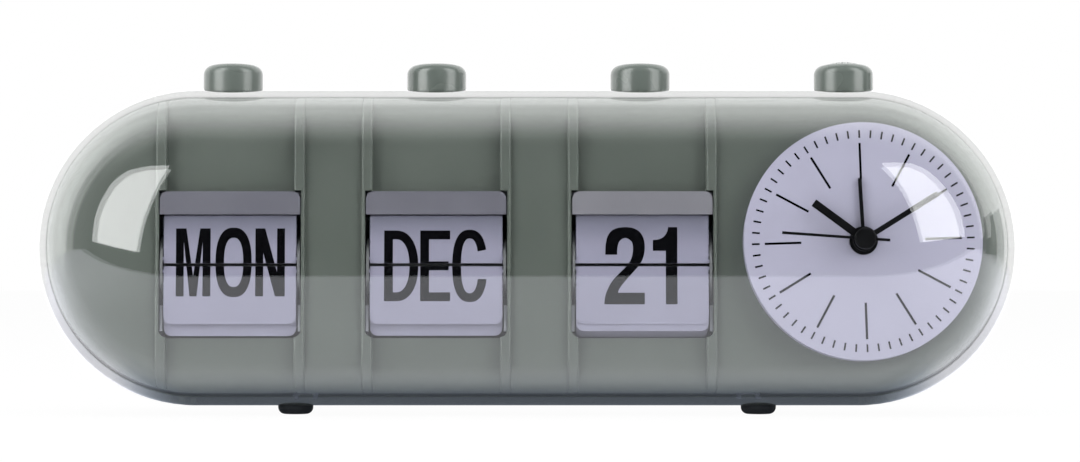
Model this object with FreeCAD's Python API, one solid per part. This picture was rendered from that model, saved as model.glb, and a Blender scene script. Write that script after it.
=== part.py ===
"""Desk clock with flip calendar: a capsule-shaped case with a clear front, three card drums and a dial.

Every piece is drawn in the case's own frame: X to the right, Y towards the back, Z up, with the
origin on the capsule's axis, half-way along it. The finished pieces are then leaned back and
lifted onto the feet, so that Z = 0 is the table. Lengths are millimetres, angles are degrees.
"""
import FreeCAD, Part
import math
import os

# Case
body_length = 255.0
body_diameter = 82.5
cover_wall = 2.0
rear_wall = 2.4
lean_back = 5.0
foot_stand = 2.3
foot_diameter = 9.2
foot_round = 1.8
front_foot_inset = 67.0
front_foot_y = 1.6
rear_foot_inset = 66.0
rear_foot_y = 19.0

# Fascia: the coloured panel behind the clear cover
panel_y = -14.0
panel_wall = 2.0
panel_rim_gap = 1.05
panel_round = 6.6
panel_back_gap = 0.3
rib_height = 1.5
rib_width = 2.8
rib_round = 8.6
rib_lap = 0.2
rib_edge = 0.6
trough_depth = 1.6
trough_width = 32.9

# Calendar modules, from left to right: day of the week, month, date
module_count = 3
first_module_inset = 51.0
last_module_inset = 97.8
coarse_pin_pitch = 3.3
fine_pin_pitch = 1.8
day_ratchet_radius = 4.1
month_ratchet_radius = 3.0
date_ratchet_radius = 5.7
split_z = -5.8
card_y = -14.5
card_width = 34.1
card_thickness = 0.3
card_drop = 15.3
card_gap = 0.8
card_corner = 2.0
upper_card_corner = 0.6
card_trail = 76.0
highest_lean = 60.0
ear_length = 0.7
ear_half_height = 0.4
ear_clearance = 0.08
window_half_width = 18.3
window_above = 19.2
window_below = 18.75
window_slope = 0.45
window_corner = 2.0
window_clearance = 0.25
guide_gap = 0.4
guide_rise = 0.5
guide_top = 10.3
guide_bottom = 17.0
lip_bottom = 12.95
lip_top = 18.9
lip_thickness = 1.0
lip_clearance = 0.3
lip_corner = 2.0
frame_wall = 0.45
cheek_thickness = 1.2
cheek_top = 21.0
cheek_back_y = 8.0
tie_drop = 24.0
tie_depth = 2.6
disc_gap = 0.25
disc_thickness = 0.7
disc_margin = 0.9
hub_radius = 2.2
axle_radius = 1.25
bearing_clearance = 0.08
ratchet_thickness = 1.4
ratchet_gap = 0.3
ratchet_rim = 0.25
slot_floor_gap = 0.25
slot_share = 0.3
nose_share = 0.16
pivot_radius = 1.2
pivot_boss_wall = 0.9
arm_root_half = 0.96
pad_radius = 0.7
contact_gap = 0.3

# Push buttons
first_button_inset = 49.8
last_button_inset = 43.8
button_diameter = 15.6
button_rise = 7.7
button_y = 9.6
button_wall = 1.4
button_round = 2.4
button_clearance = 0.25
button_travel = 2.5
stem_radius = 1.9
stem_clearance = 0.3
collar_radius = 5.2
collar_z = 32.6
collar_thickness = 1.2
skirt_bottom_z = 36.0
shelf_z = 24.0
shelf_thickness = 1.5
shelf_half_width = 8.0
rod_width = 2.0
rod_arm_height = 2.0
catch_radius = 2.9
catch_height = 1.2
spring_radius = 3.6
spring_wire = 0.35
spring_turns = 5
dome_radius = 5.2
dome_height = 1.0
groove_count = 6
groove_pitch = 1.5
groove_width = 0.4

# Snap hooks that hold the clear cover
hook_inset = 70.0
hook_width = 6.3
hook_reach = 4.0
hook_band = 1.6
hook_depth = 3.0
hook_slot = 1.9
hook_clearance = 0.3

# Case screws and their bosses
high_boss_z = 28.0
low_boss_z = -24.0
boss_radius = 4.0
boss_gap = 1.0
boss_bore = 2.9
boss_end_y = -6.0
boss_floor = 2.0
boss_root = 0.5
pilot_radius = 1.25
screw_clearance = 0.35
screw_radius = 1.2
screw_head_radius = 2.6
screw_head_height = 2.2
screw_bite = 5.0

# Dial and movement: the face stands out from the panel by a share of the room before the cover
dial_diameter = 61.3
dial_stand_share = 0.4754
dial_wall = 1.2
dial_hole = 2.7
movement_width = 46.0
movement_bottom = -23.0
movement_top = 19.0
movement_wall = 1.5
movement_back_y = 5.0
movement_gap = 0.3
bush_radius = 5.5
bush_clearance = 0.3
arbor_clearance = 0.08
second_arbor = 0.45
minute_arbor = 1.0
hour_arbor = 1.6
alarm_arbor = 2.2
wheel_thickness = 0.8
tooth_radius = 0.35
alarm_wheel_radius = 10.5
alarm_wheel_y = -9.4
hour_wheel_radius = 9.0
hour_wheel_y = -7.4
minute_wheel_radius = 7.0
minute_wheel_y = -5.4
second_wheel_radius = 5.0
second_wheel_y = -3.4
coil_side = 13.55
coil_z = -15.0
coil_length = 13.0
coil_radius = 3.0
cheek_of_coil = 1.5
board_width = 15.0
board_height = 9.0
board_thickness = 1.2
board_side = 19.0
chip_radius = 2.5
buzzer_z = -14.0
buzzer_radius = 7.0
buzzer_height = 5.0
buzzer_port_radius = 1.5
buzzer_port_depth = 3.0

# Hands: angles are clockwise from twelve, seen from the front; each stands in front of the dial
alarm_hand_stand = 0.5
alarm_hand_angle = -3.2
alarm_hand_width = 0.9
alarm_hand_length = 16.1
alarm_hand_hub = 3.65
alarm_hand_thickness = 0.9
hour_hand_stand = 3.0
hour_hand_angle = -53.5
hour_hand_width = 2.0
hour_hand_length = 16.0
hour_hand_hub = 2.9
hour_hand_thickness = 0.6
minute_hand_stand = 5.1
minute_hand_angle = 58.0
minute_hand_width = 1.35
minute_hand_length = 22.0
minute_hand_hub = 2.6
minute_hand_thickness = 0.5
second_hand_stand = 6.9
second_hand_angle = -86.0
second_hand_width = 0.7
second_hand_length = 21.3
second_hand_tail = 6.3
second_hand_hub = 2.0
second_hand_thickness = 0.3
hand_cap_radius = 2.8
hand_cap_height = 1.3
hand_cap_round = 0.5

# Rear controls
pocket_radius = 20.0
pocket_floor_y = 29.5
pocket_wall = 2.0
knob_x = 9.0
knob_z = 5.0
knob_radius = 4.6
knob_length = 7.5
knob_flutes = 16
flute_radius = 0.5
knob_shaft_radius = 1.5
shaft_reach = 2.0
shaft_clearance = 0.1
shaft_hole_clearance = 0.4
switch_z = -9.0
switch_travel = 4.0
switch_width = 3.0
switch_height = 4.0
switch_rise = 4.0
switch_flange = 2.0
switch_clearance = 0.3

# Battery bay
bay_x = 3.0
bay_half_length = 30.0
bay_half_height = 8.2
bay_wall = 2.0
bay_floor_y = 17.7
door_ledge = 1.0
door_clearance = 0.3
door_notch_radius = 2.6
door_notch_half = 8.0
battery_radius = 7.25
battery_length = 49.2
battery_edge = 0.6
battery_nub_radius = 2.6
battery_nub_length = 1.3
battery_y = 27.4
contact_thickness = 0.4
contact_half = 5.0
contact_cone_radius = 4.4
contact_cone_wall = 0.6

# Derived from the above
body_r = body_diameter / 2
end_x = body_length / 2 - body_r
axis_height = body_r + foot_stand
cover_inner_r = body_r - cover_wall
rear_inner_r = body_r - rear_wall
rim_r = cover_inner_r - panel_rim_gap
trough_y = panel_y + trough_depth
trough_back_y = trough_y + panel_wall
panel_back_y = panel_y + panel_wall
foot_x = body_length / 2 - front_foot_inset
rear_foot_x = body_length / 2 - rear_foot_inset
hook_x = body_length / 2 - hook_inset
first_module_x = first_module_inset - body_length / 2
module_pitch = (body_length - first_module_inset - last_module_inset) / (module_count - 1)
first_button_x = first_button_inset - body_length / 2
button_pitch = (body_length - first_button_inset - last_button_inset) / module_count
cheek_inner = window_half_width + window_clearance
cheek_outer = cheek_inner + cheek_thickness
ratchet_u = cheek_outer + ratchet_gap
lever_u_end = ratchet_u + ratchet_thickness
button_top_z = body_r + button_rise
rod_arm_z = shelf_z - contact_gap - rod_arm_height
dial_x = end_x
dial_room = math.sqrt(cover_inner_r ** 2 - (dial_diameter / 2) ** 2) + panel_y
dial_y = panel_y - dial_stand_share * dial_room
alarm_hand_y = dial_y - alarm_hand_stand
hour_hand_y = dial_y - hour_hand_stand
minute_hand_y = dial_y - minute_hand_stand
second_hand_y = dial_y - second_hand_stand
coil_x = dial_x - coil_side
board_right = dial_x + board_side
boss_places = [
    (first_module_x + module_pitch / 2, high_boss_z),
    (first_module_x + (module_count - 0.5) * module_pitch, high_boss_z),
    (first_module_x - cheek_outer - boss_gap - boss_radius, low_boss_z),
    (dial_x, movement_bottom - boss_gap - boss_radius),
]


class Module:
    """One card drum: its name, its number of cards and the radii that follow from them."""

    def __init__(self, name, cards, pin_pitch, ratchet_radius, index):
        self.name = name
        self.cards = cards
        self.x = first_module_x + index * module_pitch
        self.button_x = first_button_x + index * button_pitch
        self.step = 360.0 / cards
        half = math.radians(self.step / 2)
        self.pin_r = pin_pitch / (2 * math.sin(half))
        self.axis_y = card_y + self.pin_r * math.cos(half)
        self.root = self.pin_r * math.sin(half) - card_gap / 2
        self.reach = card_drop - self.pin_r * math.sin(half)
        self.ratchet_r = ratchet_radius
        self.slot_pitch = 2 * math.pi * ratchet_radius / cards
        self.nose_r = nose_share * self.slot_pitch
        lift = ratchet_radius * math.sin(half)
        nose_y = self.axis_y + ratchet_radius * math.cos(half)
        self.swing = math.atan2(button_travel / 2 + lift, button_y - nose_y)
        self.nose_arm = lift / math.sin(self.swing)
        self.pad_arm = button_travel / 2 / math.sin(self.swing)
        self.pivot_y = nose_y + self.nose_arm * math.cos(self.swing)

    def pin(self, angle):
        """The place of the pin hole at this angle, from the front (0) over the top (90)."""
        a = math.radians(angle)
        return self.axis_y - self.pin_r * math.cos(a), split_z + self.pin_r * math.sin(a)


modules = [
    Module("day", 14, coarse_pin_pitch, day_ratchet_radius, 0),
    Module("month", 12, coarse_pin_pitch, month_ratchet_radius, 1),
    Module("date", 31, fine_pin_pitch, date_ratchet_radius, 2),
]


def vec(x, y, z):
    return FreeCAD.Vector(x, y, z)


def box(x0, x1, y0, y1, z0, z1):
    return Part.makeBox(x1 - x0, y1 - y0, z1 - z0, vec(x0, y0, z0))


def rod_x(radius, x0, x1, y, z):
    return Part.makeCylinder(radius, x1 - x0, vec(x0, y, z), vec(1, 0, 0))


def rod_y(radius, y0, y1, x, z):
    return Part.makeCylinder(radius, y1 - y0, vec(x, y0, z), vec(0, 1, 0))


def rod_z(radius, z0, z1, x, y):
    return Part.makeCylinder(radius, z1 - z0, vec(x, y, z0), vec(0, 0, 1))


def join(shapes):
    """All shapes fused into one solid, with seams between coplanar faces removed."""
    result = shapes[0].multiFuse(shapes[1:]) if len(shapes) > 1 else shapes[0]
    return result.removeSplitter()


def turned_x(shape, degrees, y, z):
    """A copy of shape, turned about the line along X through y, z."""
    copy = shape.copy()
    copy.rotate(vec(0, y, z), vec(1, 0, 0), degrees)
    return copy


def moved(shape, x, y, z):
    copy = shape.copy()
    copy.translate(vec(x, y, z))
    return copy


def edges_along_y(shape):
    """The straight edges that run from front to back."""
    return [e for e in shape.Edges if e.BoundBox.YLength > max(e.BoundBox.XLength, e.BoundBox.ZLength)]


def capsule(radius):
    """The body of revolution about X: a cylinder with half-spheres for ends."""
    middle = rod_x(radius, -end_x, end_x, 0, 0)
    left = Part.makeSphere(radius, vec(-end_x, 0, 0))
    right = Part.makeSphere(radius, vec(end_x, 0, 0))
    return middle.fuse([left, right])


def stadium(front_y, back_y, radius, rounding):
    """A solid with a racetrack outline and a rounded front edge."""
    turn = math.sqrt(0.5)
    flat = radius - rounding
    points = [(0, front_y), (flat, front_y), (radius, front_y + rounding), (radius, back_y), (0, back_y)]
    mid = (flat + rounding * turn, front_y + rounding - rounding * turn)

    def outline(place):
        start, a, b, c, end = [place(*p) for p in points]
        arc = Part.Arc(a, place(*mid), b).toShape()
        lines = [Part.makeLine(start, a), arc, Part.makeLine(b, c), Part.makeLine(c, end)]
        return Part.Face(Part.Wire(lines + [Part.makeLine(end, start)]))

    pieces = []
    for centre in (-end_x, end_x):
        face = outline(lambda r, y: vec(centre + r, y, 0))
        pieces.append(face.revolve(vec(centre, 0, 0), vec(0, 1, 0), 360))
    for side in (-1, 1):
        face = outline(lambda r, y: vec(-end_x, y, side * r))
        pieces.append(face.extrude(vec(2 * end_x, 0, 0)))
    return join(pieces)


def tray(offset, rounding):
    """The fascia's wall with its front standing out by offset."""
    front = panel_y - offset
    outer = stadium(front, -panel_back_gap, rim_r, rounding)
    inner = stadium(front + panel_wall, 0, rim_r - panel_wall, rounding - panel_wall)
    return outer.cut(inner)


def slab(x0, x1):
    return box(x0, x1, -body_r, body_r, -body_r, body_r)


def rib(x0, x1):
    """One raised rib of the fascia, from x0 to x1, with its outer edges rounded.

    It is nearly as deep as the panel's back, so that it laps both the panel and the trough beside it.
    """
    outside = stadium(panel_y - rib_height, -panel_back_gap, rim_r, rib_round)
    inside = stadium(panel_back_y - rib_lap, 0, rim_r - panel_wall + rib_lap, panel_round - panel_wall)
    bar = outside.cut(inside).common(slab(x0, x1))
    half_wall = panel_wall / 2
    core = stadium(panel_y - rib_height + half_wall, 0, rim_r - half_wall, rib_round - half_wall)
    outer = []
    for edge in bar.Edges:
        middle = edge.valueAt((edge.FirstParameter + edge.LastParameter) / 2)
        flat = edge.BoundBox.XLength < rib_edge and edge.BoundBox.YMax < -panel_back_gap - rib_edge
        if flat and not core.isInside(middle, rib_edge / 10, True):
            outer.append(edge)
    return bar.makeFillet(rib_edge, outer)


def front_cover():
    shell = capsule(body_r).cut(capsule(cover_inner_r))
    shell = shell.common(box(-body_length, body_length, -body_r, 0, -body_r, body_r))
    hooks = []
    for x in (-hook_x, hook_x):
        hooks.append(cover_hook(x))
    return join([shell] + hooks)


def hook_top_z():
    """The height of the hook's upper face: it clears the rear shell's inner wall."""
    return -(rear_inner_r - hook_clearance - hook_band)


def cover_hook(x):
    half = hook_width / 2
    top = hook_top_z()
    wall = box(x - half, x + half, -hook_depth, 0, -body_r, top)
    opening = box(x - hook_slot, x + hook_slot, -hook_depth, 0, -body_r, top - hook_band)
    stand = wall.cut(opening).common(capsule(cover_inner_r + cover_wall / 2))
    tongue = box(x - half, x + half, -hook_depth, hook_reach, top - hook_band, top)
    slot = box(x - hook_slot, x + hook_slot, hook_reach / 4, hook_reach * 3 / 4, top - hook_band, top)
    return stand.fuse(tongue.cut(slot))


def window_opening(m):
    """The cut for a card window, with rounded lower corners.

    Its lower edge slopes down towards the back, clear of the swinging cards.
    """
    low = split_z - window_below
    back_low = low - window_slope
    high = split_z + window_above
    outline = [(-body_r, low), (trough_y, low), (trough_back_y, back_low), (0, back_low), (0, high)]
    outline += [(-body_r, high), outline[0]]
    face = Part.Face(Part.makePolygon([vec(m.x - window_half_width, y, z) for y, z in outline]))
    opening = face.extrude(vec(2 * window_half_width, 0, 0))
    turn_z = low + window_corner
    for side in (-1, 1):
        edge = m.x + side * window_half_width
        turn_x = edge - side * window_corner
        near, far = sorted((edge, turn_x))
        corner = box(near, far, -body_r, 0, back_low, turn_z)
        opening = opening.cut(corner.cut(rod_y(window_corner, -body_r, 0, turn_x, turn_z)))
    return opening


def fascia():
    panel = tray(0, panel_round)
    ribs = []
    troughs = []
    windows = []
    half = trough_width / 2
    for m in modules:
        span = half + rib_width
        panel = panel.cut(slab(m.x - span, m.x + span))
        trough = tray(-trough_depth, panel_round - trough_depth / 2)
        troughs.append(trough.common(slab(m.x - half, m.x + half)))
        for side in (-1, 1):
            ribs.append(rib(*sorted((m.x + side * half, m.x + side * span))))
        windows.append(window_opening(m))
    bosses = [rod_y(boss_radius, panel_back_y - boss_root, boss_end_y, x, z) for x, z in boss_places]
    body = join([panel] + ribs + troughs + bosses)
    body = body.cut(windows)
    body = body.cut([rod_y(pilot_radius, panel_back_y, boss_end_y, x, z) for x, z in boss_places])
    body = body.cut(rod_y(bush_radius + bush_clearance, -body_r, 0, dial_x, 0))
    notches = []
    for x in (-hook_x, hook_x):
        half_notch = hook_width / 2 + hook_clearance
        notch_top = hook_top_z() + hook_clearance
        notch_front = -hook_depth - hook_clearance
        notches.append(box(x - half_notch, x + half_notch, notch_front, 0, -body_r, notch_top))
    return body.cut(notches)


def rear_shell():
    outer = capsule(body_r)
    back_half = box(-body_length, body_length, 0, body_r, -body_r, body_r)
    shell = outer.cut(capsule(rear_inner_r)).common(back_half)
    pocket = rod_y(pocket_radius + pocket_wall, pocket_floor_y - pocket_wall, body_r, dial_x, 0)
    parts = [shell, pocket.common(outer)]
    parts.append(bay_box(bay_wall).common(capsule(rear_inner_r + rear_wall / 2)))
    for x in button_places():
        shelf = box(x - shelf_half_width, x + shelf_half_width, button_y - shelf_half_width,
                    body_r, shelf_z, shelf_z + shelf_thickness)
        parts.append(shelf.common(capsule(rear_inner_r + rear_wall / 2)))
    for x, z in boss_places:
        boss = rod_y(boss_radius, boss_end_y, body_r, x, z)
        parts.append(boss.common(capsule(rear_inner_r + rear_wall / 2)))
    for x in (-hook_x, hook_x):
        parts.append(hook_catch(x))
    shell = join(parts)
    cuts = [rod_y(pocket_radius, pocket_floor_y, body_r, dial_x, 0)]
    cuts.append(bay_box(0).common(capsule(rear_inner_r)))
    cuts.append(door_opening(0))
    hole_bottom = skirt_bottom_z - button_travel - contact_gap
    for x in button_places():
        cuts.append(rod_z(button_diameter / 2 + button_clearance, hole_bottom, body_r, x, button_y))
        cuts.append(rod_z(stem_radius + stem_clearance, 0, collar_z, x, button_y))
    for x, z in boss_places:
        cuts.append(rod_y(boss_bore, boss_end_y + boss_floor, body_r, x, z))
        cuts.append(rod_y(screw_radius + screw_clearance, boss_end_y, body_r, x, z))
    for side in (-1, 1):
        hole = knob_shaft_radius + shaft_hole_clearance
        cuts.append(rod_y(hole, 0, body_r, dial_x + side * knob_x, knob_z))
    cuts.append(switch_slot())
    return shell.cut(cuts)


def button_places():
    """The X of each button: one over each calendar module, and the alarm button over the dial."""
    return [first_button_x + i * button_pitch for i in range(module_count + 1)]


def hook_catch(x):
    """The ridge inside the rear shell that fills the cover hook's slot."""
    half = hook_slot - hook_clearance
    low = hook_reach / 4 + hook_clearance
    high = hook_reach * 3 / 4 - hook_clearance
    ridge = box(x - half, x + half, low, high, -body_r, hook_top_z() - hook_clearance)
    return ridge.common(capsule(rear_inner_r + rear_wall / 2))


def bay_box(grow):
    """The battery bay, grown by the bay's wall for its outside."""
    length = bay_half_length + grow
    height = bay_half_height + grow
    floor = bay_floor_y if grow else bay_floor_y + bay_wall
    return box(bay_x - length, bay_x + length, floor, body_r, -height, height)


def door_opening(shrink):
    """The piece of wall that the battery door takes, made smaller by shrink on each side.

    It is wider than the bay by the ledge that the door lies on, and narrower than the bay's walls.
    """
    length = bay_half_length + door_ledge - shrink
    height = bay_half_height + door_ledge - shrink
    block = box(bay_x - length, bay_x + length, bay_floor_y, body_r, -height, height)
    return block.common(capsule(body_r).cut(capsule(rear_inner_r + shrink)))


def switch_slot():
    half = switch_width / 2 + switch_clearance
    tall = switch_height / 2 + switch_clearance
    return box(dial_x - half, dial_x + half + switch_travel, 0, body_r, switch_z - tall, switch_z + tall)


def battery_door():
    """A piece of the case's wall with a groove for the fingernail along its upper edge."""
    door = door_opening(door_clearance)
    left = bay_x - door_notch_half
    return door.cut(rod_x(door_notch_radius, left, left + 2 * door_notch_half, body_r, bay_half_height))


def battery():
    left = bay_x - battery_length / 2
    right = left + battery_length
    can = rod_x(battery_radius, left, right, battery_y, 0)
    can = can.makeFillet(battery_edge, [e for e in can.Edges if isinstance(e.Curve, Part.Circle)])
    return can.fuse(rod_x(battery_nub_radius, right, right + battery_nub_length, battery_y, 0))


def battery_contacts():
    """The flat plate at the nub end and the sprung plate at the other end of the bay."""
    right = bay_x + bay_half_length
    left = bay_x - bay_half_length
    front = battery_y - contact_half
    back = battery_y + contact_half
    plate = box(right - contact_thickness, right, front, back, -contact_half, contact_half)
    nub_end = bay_x + battery_length / 2 + battery_nub_length
    stud = rod_x(battery_nub_radius, nub_end, right - contact_thickness, battery_y, 0)
    base = box(left, left + contact_thickness, front, back, -contact_half, contact_half)
    foot_place = vec(left + contact_thickness, battery_y, 0)
    height = bay_x - battery_length / 2 - foot_place.x
    cone = Part.makeCone(contact_cone_radius, battery_nub_radius, height, foot_place, vec(1, 0, 0))
    bore = Part.makeCone(contact_cone_radius - contact_cone_wall, battery_nub_radius - contact_cone_wall,
                         height, foot_place, vec(1, 0, 0))
    return [plate.fuse(stud), base.fuse(cone.cut(bore))]


def foot(x, y):
    """A rubber pad with a rounded lower edge, shaped to the case above it, standing on Z = 0."""
    pad = Part.makeCylinder(foot_diameter / 2, axis_height / 3, vec(x, y, 0))
    edge = [e for e in pad.Edges if isinstance(e.Curve, Part.Circle) and e.CenterOfMass.z < foot_round]
    pad = pad.makeFillet(foot_round, edge)
    return pad.cut(moved(capsule(body_r), 0, 0, axis_height))


def case_screws():
    screws = []
    seat = boss_end_y + boss_floor
    for x, z in boss_places:
        head = rod_y(screw_head_radius, seat, seat + screw_head_height, x, z)
        slot = screw_radius / 4
        drive = [box(x - screw_radius, x + screw_radius, seat + screw_head_height / 2, 0, z - slot, z + slot),
                 box(x - slot, x + slot, seat + screw_head_height / 2, 0, z - screw_radius, z + screw_radius)]
        shank = rod_y(screw_radius, boss_end_y - screw_bite, seat, x, z)
        screws.append(head.fuse(shank).cut(drive))
    return screws


def ridged_dome(x, top_z):
    """The low dome on the alarm button, cut into ridges that the finger feels."""
    ball_radius = (dome_radius ** 2 + dome_height ** 2) / (2 * dome_height)
    ball = Part.makeSphere(ball_radius, vec(x, button_y, top_z + dome_height - ball_radius))
    dome = ball.common(rod_z(dome_radius, top_z - button_wall / 2, top_z + dome_height, x, button_y))
    grooves = []
    for i in range(groove_count):
        groove_x = x + (i - (groove_count - 1) / 2) * groove_pitch
        grooves.append(box(groove_x - groove_width / 2, groove_x + groove_width / 2, button_y - dome_radius,
                           button_y + dome_radius, top_z, top_z + dome_height))
    return dome.cut(grooves)


def button(x, top_z, rod_x_end, rod_end_z, domed):
    """A round cap with a central stem; rod_x_end is where its side arm ends, or None for no arm."""
    radius = button_diameter / 2
    cap = rod_z(radius, skirt_bottom_z, top_z, x, button_y)
    circles = [e for e in cap.Edges if isinstance(e.Curve, Part.Circle)]
    cap = cap.makeFillet(button_round, [e for e in circles if e.CenterOfMass.z > top_z - button_round])
    cap = cap.cut(rod_z(radius - button_wall, skirt_bottom_z, top_z - button_wall, x, button_y))
    parts = [cap]
    stem_end = rod_arm_z if rod_x_end else movement_top + button_travel + contact_gap
    parts.append(rod_z(stem_radius, stem_end, top_z - button_wall / 2, x, button_y))
    parts.append(rod_z(collar_radius, collar_z, collar_z + collar_thickness, x, button_y))
    half = rod_width / 2
    if rod_x_end:
        arm_top = rod_arm_z + rod_arm_height
        rod_start = rod_x_end - ratchet_thickness
        parts.append(box(x, rod_x_end, button_y - half, button_y + half, rod_arm_z, arm_top))
        parts.append(box(rod_start, rod_x_end, button_y - half, button_y + half, rod_end_z, arm_top))
    else:
        catch_top = shelf_z - contact_gap
        parts.append(rod_z(catch_radius, catch_top - catch_height, catch_top, x, button_y))
    if domed:
        parts.append(ridged_dome(x, top_z))
    return join(parts)


def coil_spring(x):
    """The return spring between the shelf and the button's collar."""
    low = shelf_z + shelf_thickness + spring_wire
    high = collar_z - spring_wire
    pitch = (high - low) / spring_turns
    helix = Part.makeHelix(pitch, high - low, spring_radius)
    circle = Part.Circle(vec(spring_radius, 0, 0), vec(0, 1, 0), spring_wire)
    section = Part.Wire([circle.toShape()])
    spring = Part.Wire(helix.Edges).makePipeShell([section], True, True)
    return moved(spring, x, button_y, low)


def module_frame(m):
    """The white frame that carries a drum: lip bar, cheeks, tie bar and the lever's stud."""
    half = window_half_width - window_clearance
    lip_back = card_y - card_thickness / 2 - lip_clearance
    lip_front = lip_back - lip_thickness
    low = split_z + lip_bottom
    high = split_z + lip_top
    lip = box(-half, half, lip_front, lip_back, low, high)
    lip = lip.makeFillet(lip_corner, [e for e in edges_along_y(lip) if e.CenterOfMass.z > low + lip_corner])
    flange_half = half - lip_corner
    flange = box(-flange_half, flange_half, lip_front, trough_back_y, high - frame_wall, high)
    web = box(-cheek_outer, cheek_outer, trough_back_y, trough_back_y + cheek_thickness,
              high - frame_wall, split_z + cheek_top)
    parts = [lip, flange, web]
    cheek_front = panel_back_y + panel_back_gap
    bottom = split_z - tie_drop - cheek_thickness
    for side in (-1, 1):
        near, far = sorted((side * cheek_inner, side * cheek_outer))
        parts.append(box(near, far, cheek_front, cheek_back_y, bottom, split_z + cheek_top))
        parts += card_guide(side, half, cheek_front)
    tie_front = trough_back_y + panel_back_gap
    tie_top = bottom + cheek_thickness
    parts.append(box(-cheek_outer, cheek_outer, tie_front, tie_front + tie_depth, bottom, tie_top))
    parts.append(rod_x(pivot_radius, cheek_inner, lever_u_end, m.pivot_y, split_z))
    frame = join(parts)
    bearing = rod_x(axle_radius + bearing_clearance, -cheek_outer, cheek_outer, m.axis_y, split_z)
    return moved(frame.cut(bearing), m.x, 0, 0)


def card_guide(side, half, cheek_front):
    """The strip beside the lower cards, which shows in the window, and its web to the cheek."""
    inner = side * (card_width / 2 + guide_gap)
    low = split_z - guide_bottom
    high = split_z - guide_top
    back = cheek_front + cheek_thickness
    near, far = sorted((inner, side * half))
    strip = box(near, far, trough_y - guide_rise, back, low, high)
    near, far = sorted((inner, side * cheek_inner))
    return [strip, box(near, far, cheek_front, back, low, high)]


def drum(m):
    """Two discs with a pin hole for each card, on a hub and an axle."""
    inner = card_width / 2 + disc_gap
    outer = inner + disc_thickness
    radius = m.pin_r + disc_margin
    parts = [rod_x(hub_radius, -outer, outer, m.axis_y, split_z)]
    parts.append(rod_x(axle_radius, -cheek_outer, lever_u_end, m.axis_y, split_z))
    for side in (-1, 1):
        ends = sorted((side * inner, side * outer))
        parts.append(rod_x(radius, ends[0], ends[1], m.axis_y, split_z))
    body = join(parts)
    hole_radius = math.hypot(ear_half_height, card_thickness / 2) + ear_clearance
    holes = []
    for i in range(m.cards):
        y, z = m.pin((i + 0.5) * m.step)
        holes.append(rod_x(hole_radius, -outer, outer, y, z))
    return moved(body.cut(holes), m.x, 0, 0)


def ratchet(m):
    """The slotted wheel on the axle's end: one slot for each card."""
    rim = m.ratchet_r + ratchet_rim
    wheel = rod_x(rim, ratchet_u, lever_u_end, m.axis_y, split_z)
    half = slot_share * m.slot_pitch
    floor = m.axis_y + m.ratchet_r - m.nose_r - slot_floor_gap
    slot = box(ratchet_u, lever_u_end, floor, m.axis_y + 2 * rim, split_z - half, split_z + half)
    cuts = [turned_x(slot, (i - 0.5) * m.step, m.axis_y, split_z) for i in range(m.cards)]
    cuts.append(rod_x(axle_radius, ratchet_u, lever_u_end, m.axis_y, split_z))
    return moved(wheel.cut(cuts), m.x, 0, 0)


def lever(m):
    """The rocker that the button's rod tips, with a round nose in the ratchet's slot."""
    swing = m.swing
    nose = (m.pivot_y - m.nose_arm * math.cos(swing), split_z - m.nose_arm * math.sin(swing))
    pad = (m.pivot_y + m.pad_arm * math.cos(swing), split_z + m.pad_arm * math.sin(swing))
    boss = rod_x(pivot_radius + pivot_boss_wall, ratchet_u, lever_u_end, m.pivot_y, split_z)
    tip = rod_x(m.nose_r, ratchet_u, lever_u_end, *nose)
    foot_pad = rod_x(pad_radius, ratchet_u, lever_u_end, *pad)
    front_arm = taper((m.pivot_y, split_z), arm_root_half, nose, m.nose_r)
    back_arm = taper((m.pivot_y, split_z), arm_root_half, pad, pad_radius)
    body = join([boss, tip, foot_pad, front_arm, back_arm])
    bore = rod_x(pivot_radius + bearing_clearance, ratchet_u, lever_u_end, m.pivot_y, split_z)
    return moved(body.cut(bore), m.x, 0, 0)


def taper(start, start_half, end, end_half):
    """A flat tapering arm in the lever's plane, between two points given as (y, z)."""
    dy = end[0] - start[0]
    dz = end[1] - start[1]
    length = math.hypot(dy, dz)
    side_y = -dz / length
    side_z = dy / length
    corners = []
    for (y, z), half in ((start, start_half), (end, end_half)):
        corners.append((y + side_y * half, z + side_z * half))
        corners.append((y - side_y * half, z - side_z * half))
    order = [corners[0], corners[1], corners[3], corners[2], corners[0]]
    face = Part.Face(Part.makePolygon([vec(ratchet_u, y, z) for y, z in order]))
    return face.extrude(vec(lever_u_end - ratchet_u, 0, 0))


def card(m, slot_angle, direction, reach, corner=card_corner):
    """A card with its ears in the pin holes at slot_angle; direction is where its tip points."""
    half = card_width / 2
    y, z = m.pin(slot_angle)
    plate = box(-half, half, y - card_thickness / 2, y + card_thickness / 2, z - m.root, z + reach)
    plate = plate.makeFillet(corner, [e for e in edges_along_y(plate) if e.CenterOfMass.z > z])
    ears = box(-half - ear_length, half + ear_length, y - card_thickness / 2, y + card_thickness / 2,
               z - ear_half_height, z + ear_half_height)
    leaf = turned_x(join([plate, ears]), 90 - direction, y, z)
    return moved(leaf, m.x, 0, 0)


def upper_reach(m):
    """The falling card ends just under the lip, so that it can turn past it."""
    return lip_bottom - lip_clearance - m.root - card_gap / 2


def rest_direction(m, angle):
    """Where a card in the pack points.

    The second card of the lower half hangs straight down. The others trail behind the card in
    front of them, and those at the drum's back stick out from it.
    """
    if angle > 360 - 2 * m.step:
        return 270
    if angle < 180:
        return max(angle, min(angle + card_trail, 90 + highest_lean))
    return min(angle, max(angle - card_trail, 270 - highest_lean))


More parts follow.
